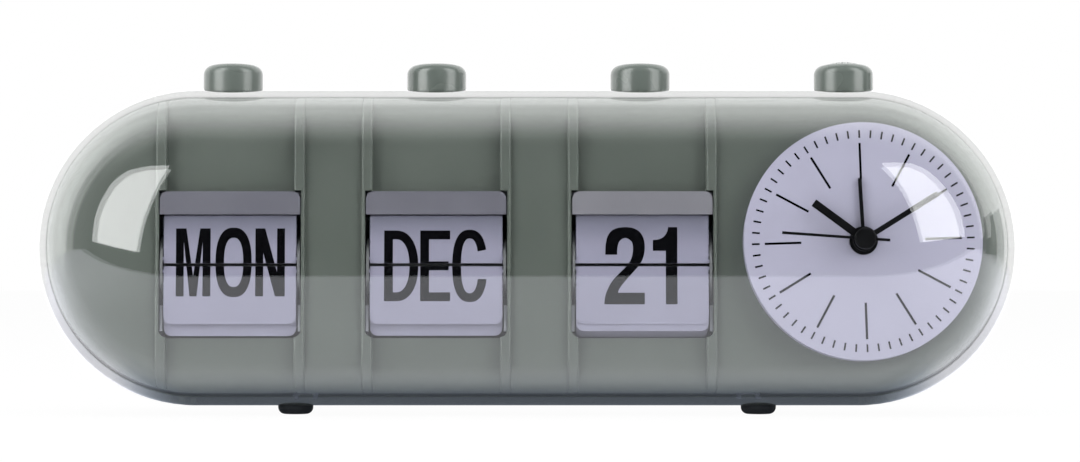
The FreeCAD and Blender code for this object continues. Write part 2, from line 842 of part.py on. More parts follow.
def card_pack(m):
    """The cards that ride with the drum, from behind the next card round to the lower half."""
    leaves = []
    for i in range(2, m.cards - 1):
        angle = (i + 0.5) * m.step
        leaves.append(card(m, angle, rest_direction(m, angle), m.reach))
    return leaves


def hand(angle, y, arm_width, length, tail, hub, thickness):
    """A clock hand with a round hub, its back face at y."""
    half = arm_width / 2
    arm = box(-half, half, y - thickness, y, -tail, length)
    body = arm.fuse(rod_y(hub, y - thickness, y, 0, 0))
    body.rotate(vec(0, 0, 0), vec(0, 1, 0), angle)
    return moved(body, dial_x, 0, 0)


def alarm_hand():
    blank = hand(alarm_hand_angle, alarm_hand_y, alarm_hand_width, alarm_hand_length, 0,
                 alarm_hand_hub, alarm_hand_thickness)
    return blank.cut(rod_y(alarm_arbor, alarm_hand_y - alarm_hand_thickness, alarm_hand_y, dial_x, 0))


def hour_hand():
    blank = hand(hour_hand_angle, hour_hand_y, hour_hand_width, hour_hand_length, 0,
                 hour_hand_hub, hour_hand_thickness)
    return blank.cut(rod_y(hour_arbor, hour_hand_y - hour_hand_thickness, hour_hand_y, dial_x, 0))


def minute_hand():
    blank = hand(minute_hand_angle, minute_hand_y, minute_hand_width, minute_hand_length, 0,
                 minute_hand_hub, minute_hand_thickness)
    return blank.cut(rod_y(minute_arbor, minute_hand_y - minute_hand_thickness, minute_hand_y, dial_x, 0))


def arbor_wheel(wheel_y, wheel_radius, front_y, outer, inner):
    """A wheel on its hollow arbor, which reaches forward to its hand."""
    tube = rod_y(outer, front_y, wheel_y, dial_x, 0)
    wheel = rod_y(wheel_radius, wheel_y, wheel_y + wheel_thickness, dial_x, 0)
    teeth = int(wheel_radius * 4)
    notches = []
    for i in range(teeth):
        a = 2 * math.pi * i / teeth
        notches.append(rod_y(tooth_radius, wheel_y, wheel_y + wheel_thickness,
                             dial_x + wheel_radius * math.cos(a), wheel_radius * math.sin(a)))
    bore = rod_y(inner, front_y, wheel_y + wheel_thickness, dial_x, 0)
    return tube.fuse(wheel).cut(notches + [bore])


def second_hand():
    """The sweep hand with its cap, its solid arbor and its wheel, pressed together as one."""
    needle = hand(second_hand_angle, second_hand_y, second_hand_width, second_hand_length,
                  second_hand_tail, second_hand_hub, second_hand_thickness)
    front = second_hand_y - hand_cap_height
    cap = rod_y(hand_cap_radius, front, second_hand_y, dial_x, 0)
    circles = [e for e in cap.Edges if isinstance(e.Curve, Part.Circle)]
    cap = cap.makeFillet(hand_cap_round, [e for e in circles if e.CenterOfMass.y < front + hand_cap_round])
    shaft = rod_y(second_arbor, second_hand_y, second_wheel_y, dial_x, 0)
    wheel = rod_y(second_wheel_radius, second_wheel_y, second_wheel_y + wheel_thickness, dial_x, 0)
    return join([needle, cap, shaft, wheel])


def dial():
    radius = dial_diameter / 2
    plate = rod_y(radius, dial_y, panel_y, dial_x, 0)
    plate = plate.cut(rod_y(radius - dial_wall, dial_y + dial_wall, panel_y, dial_x, 0))
    return plate.cut(rod_y(dial_hole, dial_y, panel_y, dial_x, 0))


def movement_box(grow, y0, y1):
    half = movement_width / 2 - grow
    return box(dial_x - half, dial_x + half, y0, y1, movement_bottom + grow, movement_top - grow)


def movement_case():
    front = panel_back_y
    shell = movement_box(0, front, movement_back_y)
    shell = shell.cut(movement_box(movement_wall, front + movement_wall, movement_back_y))
    bush_front = dial_y + dial_wall + movement_gap
    shell = shell.fuse(rod_y(bush_radius, bush_front, front, dial_x, 0))
    return shell.cut(rod_y(alarm_arbor + arbor_clearance, bush_front, front + movement_wall, dial_x, 0))


def movement_lid():
    lid = movement_box(0, movement_back_y, movement_back_y + movement_wall)
    holes = []
    for side in (-1, 1):
        holes.append(rod_y(knob_shaft_radius + shaft_clearance, 0, body_r, dial_x + side * knob_x, knob_z))
    return lid.cut(holes)


def movement_coil():
    """The stepping motor's bobbin, standing on the case's front wall."""
    floor = panel_back_y + movement_wall
    right = coil_x + coil_length
    low = coil_z - coil_radius
    high = coil_z + coil_radius
    back = floor + 2 * coil_radius
    cheeks = [box(coil_x, coil_x + cheek_of_coil, floor, back, low, high),
              box(right - cheek_of_coil, right, floor, back, low, high)]
    winding = rod_x(coil_radius, coil_x + cheek_of_coil, right - cheek_of_coil, floor + coil_radius, coil_z)
    return cheeks[0].fuse([winding, cheeks[1]])


def circuit_board():
    """The board with its chip's round blob, beside the coil."""
    floor = panel_back_y + movement_wall
    low = movement_bottom + movement_wall + movement_gap
    left = board_right - board_width
    face = floor + board_thickness
    board = box(left, board_right, floor, face, low, low + board_height)
    chip = rod_y(chip_radius, face, face + board_thickness, left + board_width / 2, low + board_height / 2)
    return board.fuse(chip)


def buzzer():
    """The round sounder on the movement's lid, with its sound hole."""
    front = movement_back_y + movement_wall
    back = front + buzzer_height
    case = rod_y(buzzer_radius, front, back, dial_x, buzzer_z)
    return case.cut(rod_y(buzzer_port_radius, back - buzzer_port_depth, back, dial_x, buzzer_z))


def knob(side):
    x = dial_x + side * knob_x
    start = pocket_floor_y + contact_gap
    grip = rod_y(knob_radius, start, start + knob_length, x, knob_z)
    flutes = []
    for i in range(knob_flutes):
        a = 2 * math.pi * i / knob_flutes
        flutes.append(rod_y(flute_radius, start, start + knob_length, x + knob_radius * math.cos(a),
                            knob_z + knob_radius * math.sin(a)))
    shaft = rod_y(knob_shaft_radius, movement_back_y - shaft_reach, start, x, knob_z)
    return grip.cut(flutes).fuse(shaft)


def alarm_switch():
    """The slide switch in the rear pocket, drawn in its off place."""
    half = switch_width / 2
    tall = switch_height / 2
    inside = pocket_floor_y - pocket_wall - contact_gap
    thumb = box(dial_x - half, dial_x + half, inside - 1, pocket_floor_y + switch_rise,
                switch_z - tall, switch_z + tall)
    wide = half + switch_flange
    plate = box(dial_x - wide, dial_x + wide, inside - 1, inside, switch_z - tall - switch_flange,
                switch_z + tall + switch_flange)
    return thumb.fuse(plate)


def save(name, pieces, leaned=True):
    """Lean and lift the piece into its place on the table, and write it."""
    placed = []
    for piece in pieces if isinstance(pieces, list) else [pieces]:
        copy = piece.copy()
        if leaned:
            copy.rotate(vec(0, 0, 0), vec(1, 0, 0), -lean_back)
            copy.translate(vec(0, 0, axis_height))
        placed += copy.Solids
    shape = placed[0] if len(placed) == 1 else Part.makeCompound(placed)
    shape.exportStep("parts/" + name + ".step")
    print(name, len(placed), "solid(s)", "valid" if shape.isValid() else "NOT VALID", round(shape.Volume, 1))


def save_module(m):
    save(m.name + "_frame", module_frame(m))
    save(m.name + "_drum", drum(m))
    save(m.name + "_ratchet", ratchet(m))
    save(m.name + "_lever", lever(m))
    save(m.name + "_upper_card", card(m, m.step / 2, 90, upper_reach(m), upper_card_corner))
    save(m.name + "_next_card", card(m, 1.5 * m.step, 90, m.reach))
    save(m.name + "_lower_card", card(m, -m.step / 2, 270, m.reach))
    save(m.name + "_card_pack", card_pack(m))
    pad_top = split_z + m.pad_arm * math.sin(m.swing) + pad_radius + contact_gap
    save(m.name + "_button", button(m.button_x, button_top_z, m.x + lever_u_end, pad_top, False))
    save(m.name + "_spring", coil_spring(m.button_x))


def main():
    os.makedirs("parts", exist_ok=True)
    save("front_cover", front_cover())
    save("rear_shell", rear_shell())
    save("fascia", fascia())
    save("battery_door", battery_door())
    save("battery", battery())
    save("battery_contacts", battery_contacts())
    foot_rows = [(foot_x, front_foot_y), (rear_foot_x, rear_foot_y)]
    feet = [foot(side * x, y) for side in (-1, 1) for x, y in foot_rows]
    save("feet", feet, leaned=False)
    save("case_screws", case_screws())
    for m in modules:
        save_module(m)
    alarm_x = button_places()[-1]
    save("alarm_button", button(alarm_x, button_top_z, None, 0, True))
    save("alarm_spring", coil_spring(alarm_x))
    save("dial", dial())
    save("movement_case", movement_case())
    save("movement_lid", movement_lid())
    save("movement_coil", movement_coil())
    save("circuit_board", circuit_board())
    save("buzzer", buzzer())
    save("alarm_wheel", arbor_wheel(alarm_wheel_y, alarm_wheel_radius, alarm_hand_y - alarm_hand_thickness,
                                    alarm_arbor, hour_arbor + arbor_clearance))
    save("hour_wheel", arbor_wheel(hour_wheel_y, hour_wheel_radius, hour_hand_y - hour_hand_thickness,
                                   hour_arbor, minute_arbor + arbor_clearance))
    save("minute_wheel", arbor_wheel(minute_wheel_y, minute_wheel_radius,
                                     minute_hand_y - minute_hand_thickness,
                                     minute_arbor, second_arbor + arbor_clearance))
    save("alarm_hand", alarm_hand())
    save("hour_hand", hour_hand())
    save("minute_hand", minute_hand())
    save("second_hand", second_hand())
    save("time_set_knob", knob(-1))
    save("alarm_set_knob", knob(1))
    save("alarm_switch", alarm_switch())


main()
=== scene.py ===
"""Dresses the desk clock with flip calendar and sets it in a plain studio.

Lengths in the classes are millimetres in the case's own frame: X to the right, Y towards the back,
Z up, with the origin on the capsule's axis. CaseSpace turns them into metres in the row frame, where
the case leans back and stands on its feet.
"""
import logging
import math
from dataclasses import dataclass, field
from enum import Enum

import bmesh
import bpy
from mathutils import Matrix, Vector

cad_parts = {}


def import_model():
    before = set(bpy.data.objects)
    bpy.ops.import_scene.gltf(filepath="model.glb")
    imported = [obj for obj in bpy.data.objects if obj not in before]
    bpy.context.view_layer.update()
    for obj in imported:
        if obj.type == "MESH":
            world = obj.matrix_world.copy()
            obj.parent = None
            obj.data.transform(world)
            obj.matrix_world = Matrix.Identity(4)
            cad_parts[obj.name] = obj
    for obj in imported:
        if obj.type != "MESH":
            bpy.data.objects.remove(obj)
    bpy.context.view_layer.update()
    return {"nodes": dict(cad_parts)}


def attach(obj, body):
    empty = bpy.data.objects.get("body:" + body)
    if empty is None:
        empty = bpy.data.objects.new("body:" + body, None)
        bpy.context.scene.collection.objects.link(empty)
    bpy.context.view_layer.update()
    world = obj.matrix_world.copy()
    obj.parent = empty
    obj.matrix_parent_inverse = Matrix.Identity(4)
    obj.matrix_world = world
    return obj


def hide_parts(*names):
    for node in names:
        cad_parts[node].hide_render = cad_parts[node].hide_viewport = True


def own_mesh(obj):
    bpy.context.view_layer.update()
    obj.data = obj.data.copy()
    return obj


LOG = logging.getLogger("desk_clock")
Point = tuple[float, float]
Loop = list[Point]
Colour = tuple[float, float, float]
Place = tuple[float, float, float]
Socket = bpy.types.NodeSocket
Material = bpy.types.Material
Mesh = bpy.types.Mesh
Piece = bpy.types.Object
WHITE = (1.0, 1.0, 1.0, 1.0)


class Half(Enum):
    """Which half of a split word a card shows."""

    UPPER = 1
    LOWER = -1


class Side(Enum):
    """The left or the right of the object, seen from the front."""

    LEFT = -1
    RIGHT = 1


class Face(Enum):
    """The side of a card that carries print."""

    FRONT = -1
    BACK = 1


# Places


@dataclass(frozen=True)
class CaseSpace:
    """The case's own frame: how far it leans back and how high its axis stands."""

    lean: float = math.radians(5.0)
    axis_height: float = 43.55

    def matrix(self) -> Matrix:
        """The matrix from case millimetres to row metres."""
        turn = Matrix.Rotation(-self.lean, 4, "X")
        lift = Matrix.Translation((0.0, 0.0, self.axis_height))
        return Matrix.Scale(0.001, 4) @ lift @ turn


CASE = CaseSpace()


# Finishes


class NodeTree:
    """The node tree of a new material or world, with short ways to add and link its nodes."""

    noise_range: Point = (0.3, 0.7)

    def __init__(self, owner: Material | bpy.types.World, output: str = "ShaderNodeOutputMaterial") -> None:
        """Start an empty tree.

        Args:
            owner: the material or the world.
            output: the type name of its output node.
        """
        self.owner = owner
        self.owner.use_nodes = True
        self.tree = self.owner.node_tree
        self.tree.nodes.clear()
        self.output = self.add(output)

    @classmethod
    def for_material(cls, name: str) -> "NodeTree":
        """Start a new material of this name, and hand back its empty tree."""
        return cls(bpy.data.materials.new(name))

    def add(self, kind: str, **sockets: object) -> bpy.types.Node:
        """Add a node.

        Args:
            kind: the node's type name.
            **sockets: values for its input sockets, with underscores for the spaces in their names.

        Returns:
            The new node.
        """
        node = self.tree.nodes.new(kind)
        for name, value in sockets.items():
            node.inputs[name.replace("_", " ")].default_value = value
        return node

    def link(self, source: Socket, target: Socket) -> None:
        """Join two sockets."""
        self.tree.links.new(source, target)

    def feed(self, term: Socket | float | tuple, slot: Socket) -> None:
        """Link an input to a socket, or set it to a plain value.

        Args:
            term: the socket or the value.
            slot: the input.
        """
        if isinstance(term, Socket):
            self.link(term, slot)
        else:
            slot.default_value = term

    def calc(self, operation: str, *terms: Socket | float) -> Socket:
        """A step of arithmetic.

        Args:
            operation: the step's type name.
            *terms: its terms, each a socket or a number.

        Returns:
            The result's socket.
        """
        node = self.add("ShaderNodeMath")
        node.operation = operation
        for slot, term in zip(node.inputs, terms):
            self.feed(term, slot)
        return node.outputs["Value"]

    def ease(self, value: Socket, low: float, high: float) -> Socket:
        """A smooth rise from 0 to 1.

        Args:
            value: the socket to follow.
            low: the result is 0 up to here.
            high: the result is 1 from here.

        Returns:
            The result's socket.
        """
        node = self.add("ShaderNodeMapRange", From_Min=low, From_Max=high)
        node.interpolation_type = "SMOOTHSTEP"
        self.link(value, node.inputs["Value"])
        return node.outputs["Result"]

    def ramp(self, value: Socket, stops: tuple[Point, ...]) -> Socket:
        """A grey level that goes straight from stop to stop.

        Args:
            value: the socket to follow, from 0 to 1.
            stops: places and levels, the first at 0 and the last at 1.

        Returns:
            The level's socket.
        """
        node = self.add("ShaderNodeValToRGB")
        elements = node.color_ramp.elements
        elements[0].color = (*[stops[0][1]] * 3, 1.0)
        elements[1].color = (*[stops[-1][1]] * 3, 1.0)
        for place, level in stops[1:-1]:
            elements.new(place).color = (level, level, level, 1.0)
        self.link(value, node.inputs["Fac"])
        return node.outputs["Color"]

    def axes(self, space: str = "Object") -> tuple[Socket, ...]:
        """The coordinates of the shaded point.

        Args:
            space: which coordinates.

        Returns:
            The sockets of X, Y and Z.
        """
        coordinates = self.add("ShaderNodeTexCoord")
        parts = self.add("ShaderNodeSeparateXYZ")
        self.link(coordinates.outputs[space], parts.inputs["Vector"])
        return tuple(parts.outputs)

    def noise(self, scale: float, detail: float = 3.0) -> Socket:
        """A noise over the object's own coordinates.

        Args:
            scale: its scale, per metre.
            detail: its number of octaves.

        Returns:
            The noise's value socket.
        """
        coordinates = self.add("ShaderNodeTexCoord")
        texture = self.add("ShaderNodeTexNoise", Scale=scale, Detail=detail)
        self.link(coordinates.outputs["Object"], texture.inputs["Vector"])
        return texture.outputs["Fac"]

    def spread(self, value: Socket, low: float, high: float) -> Socket:
        """Map a noise's usual range to low to high.

        Args:
            value: the noise's socket.
            low: the result at the range's start.
            high: the result at its end.

        Returns:
            The mapped value's socket.
        """
        start, end = self.noise_range
        node = self.add("ShaderNodeMapRange", From_Min=start, From_Max=end, To_Min=low, To_Max=high)
        self.link(value, node.inputs["Value"])
        return node.outputs["Result"]

    def blend(
        self,
        value: Socket,
        low: Colour | Socket,
        high: Colour | Socket,
    ) -> Socket:
        """A colour between two, by a value.

        Args:
            value: the socket that chooses, from 0 to 1.
            low: the colour at 0, or its socket.
            high: the colour at 1, or its socket.

        Returns:
            The colour's socket.
        """
        node = self.add("ShaderNodeMix")
        node.data_type = "RGBA"
        slots = [slot for slot in node.inputs if slot.type == "RGBA"]
        for slot, colour in zip(slots, (low, high)):
            self.feed(colour if isinstance(colour, Socket) else (*colour, 1.0), slot)
        self.link(value, node.inputs["Factor"])
        return next(slot for slot in node.outputs if slot.type == "RGBA")

    def fade(self, share: Socket | float, first: bpy.types.Node, second: bpy.types.Node) -> bpy.types.Node:
        """A mix of two shaders.

        Args:
            share: how much of the second one shows, as a socket or a number.
            first: the first shader's node.
            second: the second shader's node.

        Returns:
            The mix's node.
        """
        mix = self.add("ShaderNodeMixShader")
        for slot, term in zip(mix.inputs, (share, first.outputs[0], second.outputs[0])):
            self.feed(term, slot)
        return mix

    def bump(self, height: Socket, distance: float, strength: float) -> Socket:
        """A bumped normal.

        Args:
            height: the socket with the height.
            distance: the height's full range, in metres.
            strength: how much of it shows.

        Returns:
            The normal's socket.
        """
        node = self.add("ShaderNodeBump", Strength=strength, Distance=distance)
        self.link(height, node.inputs["Height"])
        return node.outputs["Normal"]

    def finish(self, shader: bpy.types.Node) -> Material | bpy.types.World:
        """Link the final shader's node to the output, and hand back the material or the world."""
        self.link(shader.outputs[0], self.output.inputs["Surface"])
        return self.owner


@dataclass(frozen=True)
class MouldedPlastic:
    """Coloured plastic from a spark-finished mould: faint grain, and a gloss that varies a little."""

    name: str
    colour: Colour
    roughness: float = 0.4
    gloss_spread: float = 0.05
    tone_spread: float = 0.04
    grain_scale: float = 2600.0
    grain_height: float = 0.000004
    grain_strength: float = 0.6
    cloud_scale: float = 55.0
    refraction: float = 1.5
    sheen_level: float = 0.5
    # Painted shade: from a given height up the colour turns to this darker one, for a lip in shade or its
    # shadow
    lip_shade_colour: Colour | None = None
    lip_shade_from: float = 0.0515
    lip_shade_blur: float = 0.0002

    def tone(self, nodes: NodeTree, clouds: Socket, colour: Colour) -> Socket:
        """A colour that varies a little.

        Args:
            nodes: the material's tree.
            clouds: the noise that it follows.
            colour: the colour.

        Returns:
            The varied colour's socket.
        """
        dark = tuple(c * (1 - self.tone_spread) for c in colour)
        light = tuple(min(1.0, c * (1 + self.tone_spread)) for c in colour)
        return nodes.blend(nodes.spread(clouds, 0.0, 1.0), dark, light)

    def make(self) -> Material:
        """Build the material.

        Returns:
            The finished material.
        """
        nodes = NodeTree.for_material(self.name)
        shader = nodes.add("ShaderNodeBsdfPrincipled", IOR=self.refraction,
                           Specular_IOR_Level=self.sheen_level)
        clouds = nodes.noise(self.cloud_scale)
        colour = self.tone(nodes, clouds, self.colour)
        # Painted shade: the colour darkens from the given height upwards, eased over the blur
        if self.lip_shade_colour:
            above = nodes.ease(nodes.axes()[2], self.lip_shade_from - self.lip_shade_blur, self.lip_shade_from + self.lip_shade_blur)
            colour = nodes.blend(above, colour, self.tone(nodes, clouds, self.lip_shade_colour))
        nodes.link(colour, shader.inputs["Base Color"])
        gloss = nodes.spread(clouds, self.roughness - self.gloss_spread, self.roughness + self.gloss_spread)
        nodes.link(gloss, shader.inputs["Roughness"])
        grain = nodes.noise(self.grain_scale, 2.0)
        nodes.link(nodes.bump(grain, self.grain_height, self.grain_strength), shader.inputs["Normal"])
        return nodes.finish(shader)


@dataclass(frozen=True)
class ClearPlastic:
    """Polished clear plastic: it mirrors more the flatter it is seen, and tints a little at its edge.

    Near the outline light turns round inside the wall, so there the outer skin mirrors strongly, and the
    inner skin never more than a little.
    """

    name: str
    tint: Colour = (0.975, 0.985, 0.98)
    edge_tint: Colour = (0.95, 0.96, 0.965)
    roughness: float = 0.03
    head_on: float = 0.04
    falloff: float = 5.0
    rim_from: float = 0.655
    rim_full: float = 0.70
    rim_mirror: float = 0.41
    inner_mirror: float = 0.2
    haze: float = 0.0
    haze_colour: Colour = (0.30, 0.33, 0.42)

    def make(self) -> Material:
        """Build the material.

        Returns:
            The finished material.
        """
        nodes = NodeTree.for_material(self.name)
        weight = nodes.add("ShaderNodeLayerWeight", Blend=0.5)
        power = nodes.calc("POWER", weight.outputs["Facing"], self.falloff)
        scaled = nodes.calc("MULTIPLY_ADD", power, 1 - self.head_on, self.head_on)
        near_rim = nodes.ease(weight.outputs["Facing"], self.rim_from, self.rim_full)
        outer = nodes.calc("MAXIMUM", scaled, nodes.calc("MULTIPLY", near_rim, self.rim_mirror))
        inner = nodes.calc("MINIMUM", scaled, self.inner_mirror)
        behind = nodes.add("ShaderNodeNewGeometry").outputs["Backfacing"]
        mirror = nodes.calc("MULTIPLY_ADD", nodes.calc("SUBTRACT", inner, outer), behind, outer)
        clear = nodes.add("ShaderNodeBsdfTransparent")
        nodes.link(nodes.blend(power, self.tint, self.edge_tint), clear.inputs["Color"])
        gloss = nodes.add("ShaderNodeBsdfGlossy", Roughness=self.roughness, Color=WHITE)
        skin = nodes.fade(mirror, clear, gloss)
        if self.haze:
            milky = nodes.add("ShaderNodeBsdfDiffuse", Color=(*self.haze_colour, 1.0))
            skin = nodes.fade(self.haze, skin, milky)
        return nodes.finish(skin)


@dataclass(frozen=True)
class Metal:
    """Plain metal with fine drawn or turned marks."""

    name: str
    colour: Colour
    roughness: float = 0.3
    gloss_spread: float = 0.08
    mark_scale: float = 1500.0
    mark_depth: float = 0.00001
    mark_strength: float = 0.4

    def make(self) -> Material:
        """Build the material.

        Returns:
            The finished material.
        """
        nodes = NodeTree.for_material(self.name)
        shader = nodes.add("ShaderNodeBsdfPrincipled", Metallic=1.0, Base_Color=(*self.colour, 1.0))
        marks = nodes.noise(self.mark_scale, 4.0)
        gloss = nodes.spread(marks, self.roughness - self.gloss_spread, self.roughness + self.gloss_spread)
        nodes.link(gloss, shader.inputs["Roughness"])
        nodes.link(nodes.bump(marks, self.mark_depth, self.mark_strength), shader.inputs["Normal"])
        return nodes.finish(shader)


@dataclass(frozen=True)
class Rubber:
    """Dark moulded rubber, dusty and dull."""

    name: str
    colour: Colour
    dust: Colour = (0.03, 0.034, 0.038)
    dust_scale: float = 420.0
    refraction: float = 1.45
    roughness: Point = (0.62, 0.78)
    grain_scale: float = 3200.0
    grain_height: float = 0.00003
    grain_strength: float = 0.7

    def make(self) -> Material:
        """Build the material.

        Returns:
            The finished material.
        """
        nodes = NodeTree.for_material(self.name)
        shader = nodes.add("ShaderNodeBsdfPrincipled", IOR=self.refraction)
        clouds = nodes.noise(self.dust_scale, 5.0)
        dusted = nodes.blend(nodes.spread(clouds, 0.0, 1.0), self.colour, self.dust)
        nodes.link(dusted, shader.inputs["Base Color"])
        nodes.link(nodes.spread(clouds, *self.roughness), shader.inputs["Roughness"])
        grain = nodes.noise(self.grain_scale)
        nodes.link(nodes.bump(grain, self.grain_height, self.grain_strength), shader.inputs["Normal"])
        return nodes.finish(shader)


@dataclass(frozen=True)
class PrintInk:
    """Screen-printed black ink, slightly uneven in its gloss."""

    name: str
    colour: Colour = (0.002, 0.002, 0.003)
    refraction: float = 1.45
    sheen_level: float = 0.04
    blotch_scale: float = 900.0
    roughness: Point = (0.42, 0.58)

    def make(self) -> Material:
        """Build the material.

        Returns:
            The finished material.
        """
        nodes = NodeTree.for_material(self.name)
        shader = nodes.add("ShaderNodeBsdfPrincipled", IOR=self.refraction,
                           Specular_IOR_Level=self.sheen_level, Base_Color=(*self.colour, 1.0))
        gloss = nodes.spread(nodes.noise(self.blotch_scale), *self.roughness)
        nodes.link(gloss, shader.inputs["Roughness"])
        return nodes.finish(shader)


@dataclass
class Palette:
    """Every finish of the clock, made once."""

    made: dict[str, Material] = field(default_factory=dict)

    def mix(self) -> None:
        """Make all the materials."""
        sage = (0.103, 0.117, 0.103)
        white = (0.50, 0.50, 0.56)
        finishes = [
            ClearPlastic("clear_cover"),
            ClearPlastic("cover_hooks", haze=0.35),
            MouldedPlastic("case_plastic", sage, roughness=0.36),
            MouldedPlastic("fascia_plastic", sage, roughness=0.42),
            MouldedPlastic("button_plastic", (0.125, 0.147, 0.131), roughness=0.27),
            # The frame's lip has painted shade; the date frame is a copy whose painted lip shade is lighter
            MouldedPlastic("frame_plastic", white, roughness=0.45, lip_shade_colour=(0.143, 0.137, 0.170)),
            MouldedPlastic("date_frame_plastic", white, roughness=0.45, lip_shade_colour=(0.215, 0.205, 0.235)),
            MouldedPlastic("drum_plastic", (0.16, 0.16, 0.17), roughness=0.5),
            # Painted shadow of the lip on the cards, darker towards their top
            MouldedPlastic("card_plastic", (0.299, 0.283, 0.385), roughness=0.5, tone_spread=0.015,
                           lip_shade_colour=(0.175, 0.170, 0.235), lip_shade_from=0.0470, lip_shade_blur=0.0048),
            MouldedPlastic("drive_plastic", (0.78, 0.78, 0.74), roughness=0.45),
            MouldedPlastic("dial_plate", (0.42, 0.397, 0.52), roughness=0.55, tone_spread=0.015),
            MouldedPlastic("hand_paint", (0.006, 0.006, 0.007), sheen_level=0.1),
            MouldedPlastic("movement_plastic", (0.03, 0.03, 0.033), roughness=0.5),
            MouldedPlastic("sounder", (0.02, 0.02, 0.02), roughness=0.55),
            MouldedPlastic("control_plastic", (0.035, 0.037, 0.037), roughness=0.42),
            MouldedPlastic("board", (0.03, 0.16, 0.07), roughness=0.3),
            MouldedPlastic("cell_jacket", (0.05, 0.055, 0.06), roughness=0.25),
            Metal("arbor_metal", (0.78, 0.60, 0.30)),
            Metal("winding", (0.72, 0.34, 0.16), roughness=0.35),
            Metal("steel", (0.62, 0.62, 0.64)),
            Rubber("foot_rubber", (0.014, 0.017, 0.020)),
            PrintInk("ink"),
        ]
        for finish in finishes:
            self.made[finish.name] = finish.make()

    def paint(self, piece: Piece, name: str) -> None:
        """Give a piece one finish all over.

        Args:
            piece: the object to paint.
            name: the finish's name.
        """
        slots = piece.data.materials
        if len(slots) == 0:
            slots.append(self.made[name])
        for index in range(len(slots)):
            slots[index] = self.made[name]


# Mesh helpers


def show(thing: Piece) -> Piece:
    """Link an object into the scene, and hand it back."""
    bpy.context.scene.collection.objects.link(thing)
    return thing


def add_piece(name: str, mesh: Mesh, body: str) -> Piece:
    """Put a mesh that is in case millimetres into the scene and let it ride on a body.

    Args:
        name: the piece's name.
        mesh: its mesh, in case millimetres.
        body: the body that it moves with.

    Returns:
        The new object.
    """
    mesh.transform(CASE.matrix())
    piece = show(bpy.data.objects.new(name, mesh))
    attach(piece, body)
    LOG.info("%s on %s: %d faces", name, body, len(mesh.polygons))
    return piece


def let_give(spring: Piece) -> None:
    """Give a button's return spring its own copy of its mesh.

    Args:
        spring: the spring's node.
    """
    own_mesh(spring)


def smooth(mesh: Mesh, angle: float = math.radians(35)) -> None:
    """Shade a mesh smooth, but keep edges sharper than the angle.

    Args:
        mesh: the mesh.
        angle: the smallest angle between faces that stays sharp.
    """
    mesh.polygons.foreach_set("use_smooth", [True] * len(mesh.polygons))
    work = bmesh.new()
    work.from_mesh(mesh)
    for edge in work.edges:
        edge.smooth = len(edge.link_faces) == 2 and edge.calc_face_angle(0.0) < angle
    work.to_mesh(mesh)
    work.free()


def mesh_from(work: bmesh.types.BMesh, name: str, outward: bool = True) -> Mesh:
    """Turn a bmesh into a mesh, and free it.

    Args:
        work: the bmesh.
        name: the mesh's name.
        outward: whether the normals are turned outwards first.

    Returns:
        The mesh.
    """
    if outward:
        bmesh.ops.recalc_face_normals(work, faces=work.faces[:])
    mesh = bpy.data.meshes.new(name)
    work.to_mesh(mesh)
    work.free()
    return mesh


# Lettering


def catmull(points: Loop, steps: int = 8) -> Loop:
    """A smooth curve through points.

    Args:
        points: the points, the first and last of which are kept.
        steps: how many pieces each stretch is cut into.

    Returns:
        Points along the curve.
    """
    ends = [points[0], *points, points[-1]]
    curve: Loop = []
    for stretch in zip(ends, ends[1:], ends[2:], ends[3:]):
        for k in range(steps):
            t = k / steps
            square, cube = t**2, t**3
            pulls = (2 * square - t - cube, 2 - 5 * square + 3 * cube,
                     t + 4 * square - 3 * cube, cube - square)
            x, z = (sum(pull * point[j] for pull, point in zip(pulls, stretch)) / 2 for j in (0, 1))
            curve.append((x, z))
    curve.append(points[-1])
    return curve


@dataclass(frozen=True)
class Bowl:
    """A squarish ellipse, as the round strokes of a condensed sans-serif follow."""

    centre: Point
    half_width: float
    half_height: float
    squareness: float = 2.45

    def arc(self, start: float, end: float, steps: int) -> Loop:
        """Points along the bowl.

        Args:
            start: the first angle in degrees, from the right, anticlockwise.
            end: the last angle.
            steps: how many stretches to cut it into.

        Returns:
            The points.
        """
        power = 2 / self.squareness
        points: Loop = []
        for k in range(steps + 1):
            a = math.radians(start + (end - start) * k / steps)
            across, up = (math.copysign(abs(v) ** power, v) for v in (math.cos(a), math.sin(a)))
            points.append((self.centre[0] + across * self.half_width, self.centre[1] + up * self.half_height))
        return points


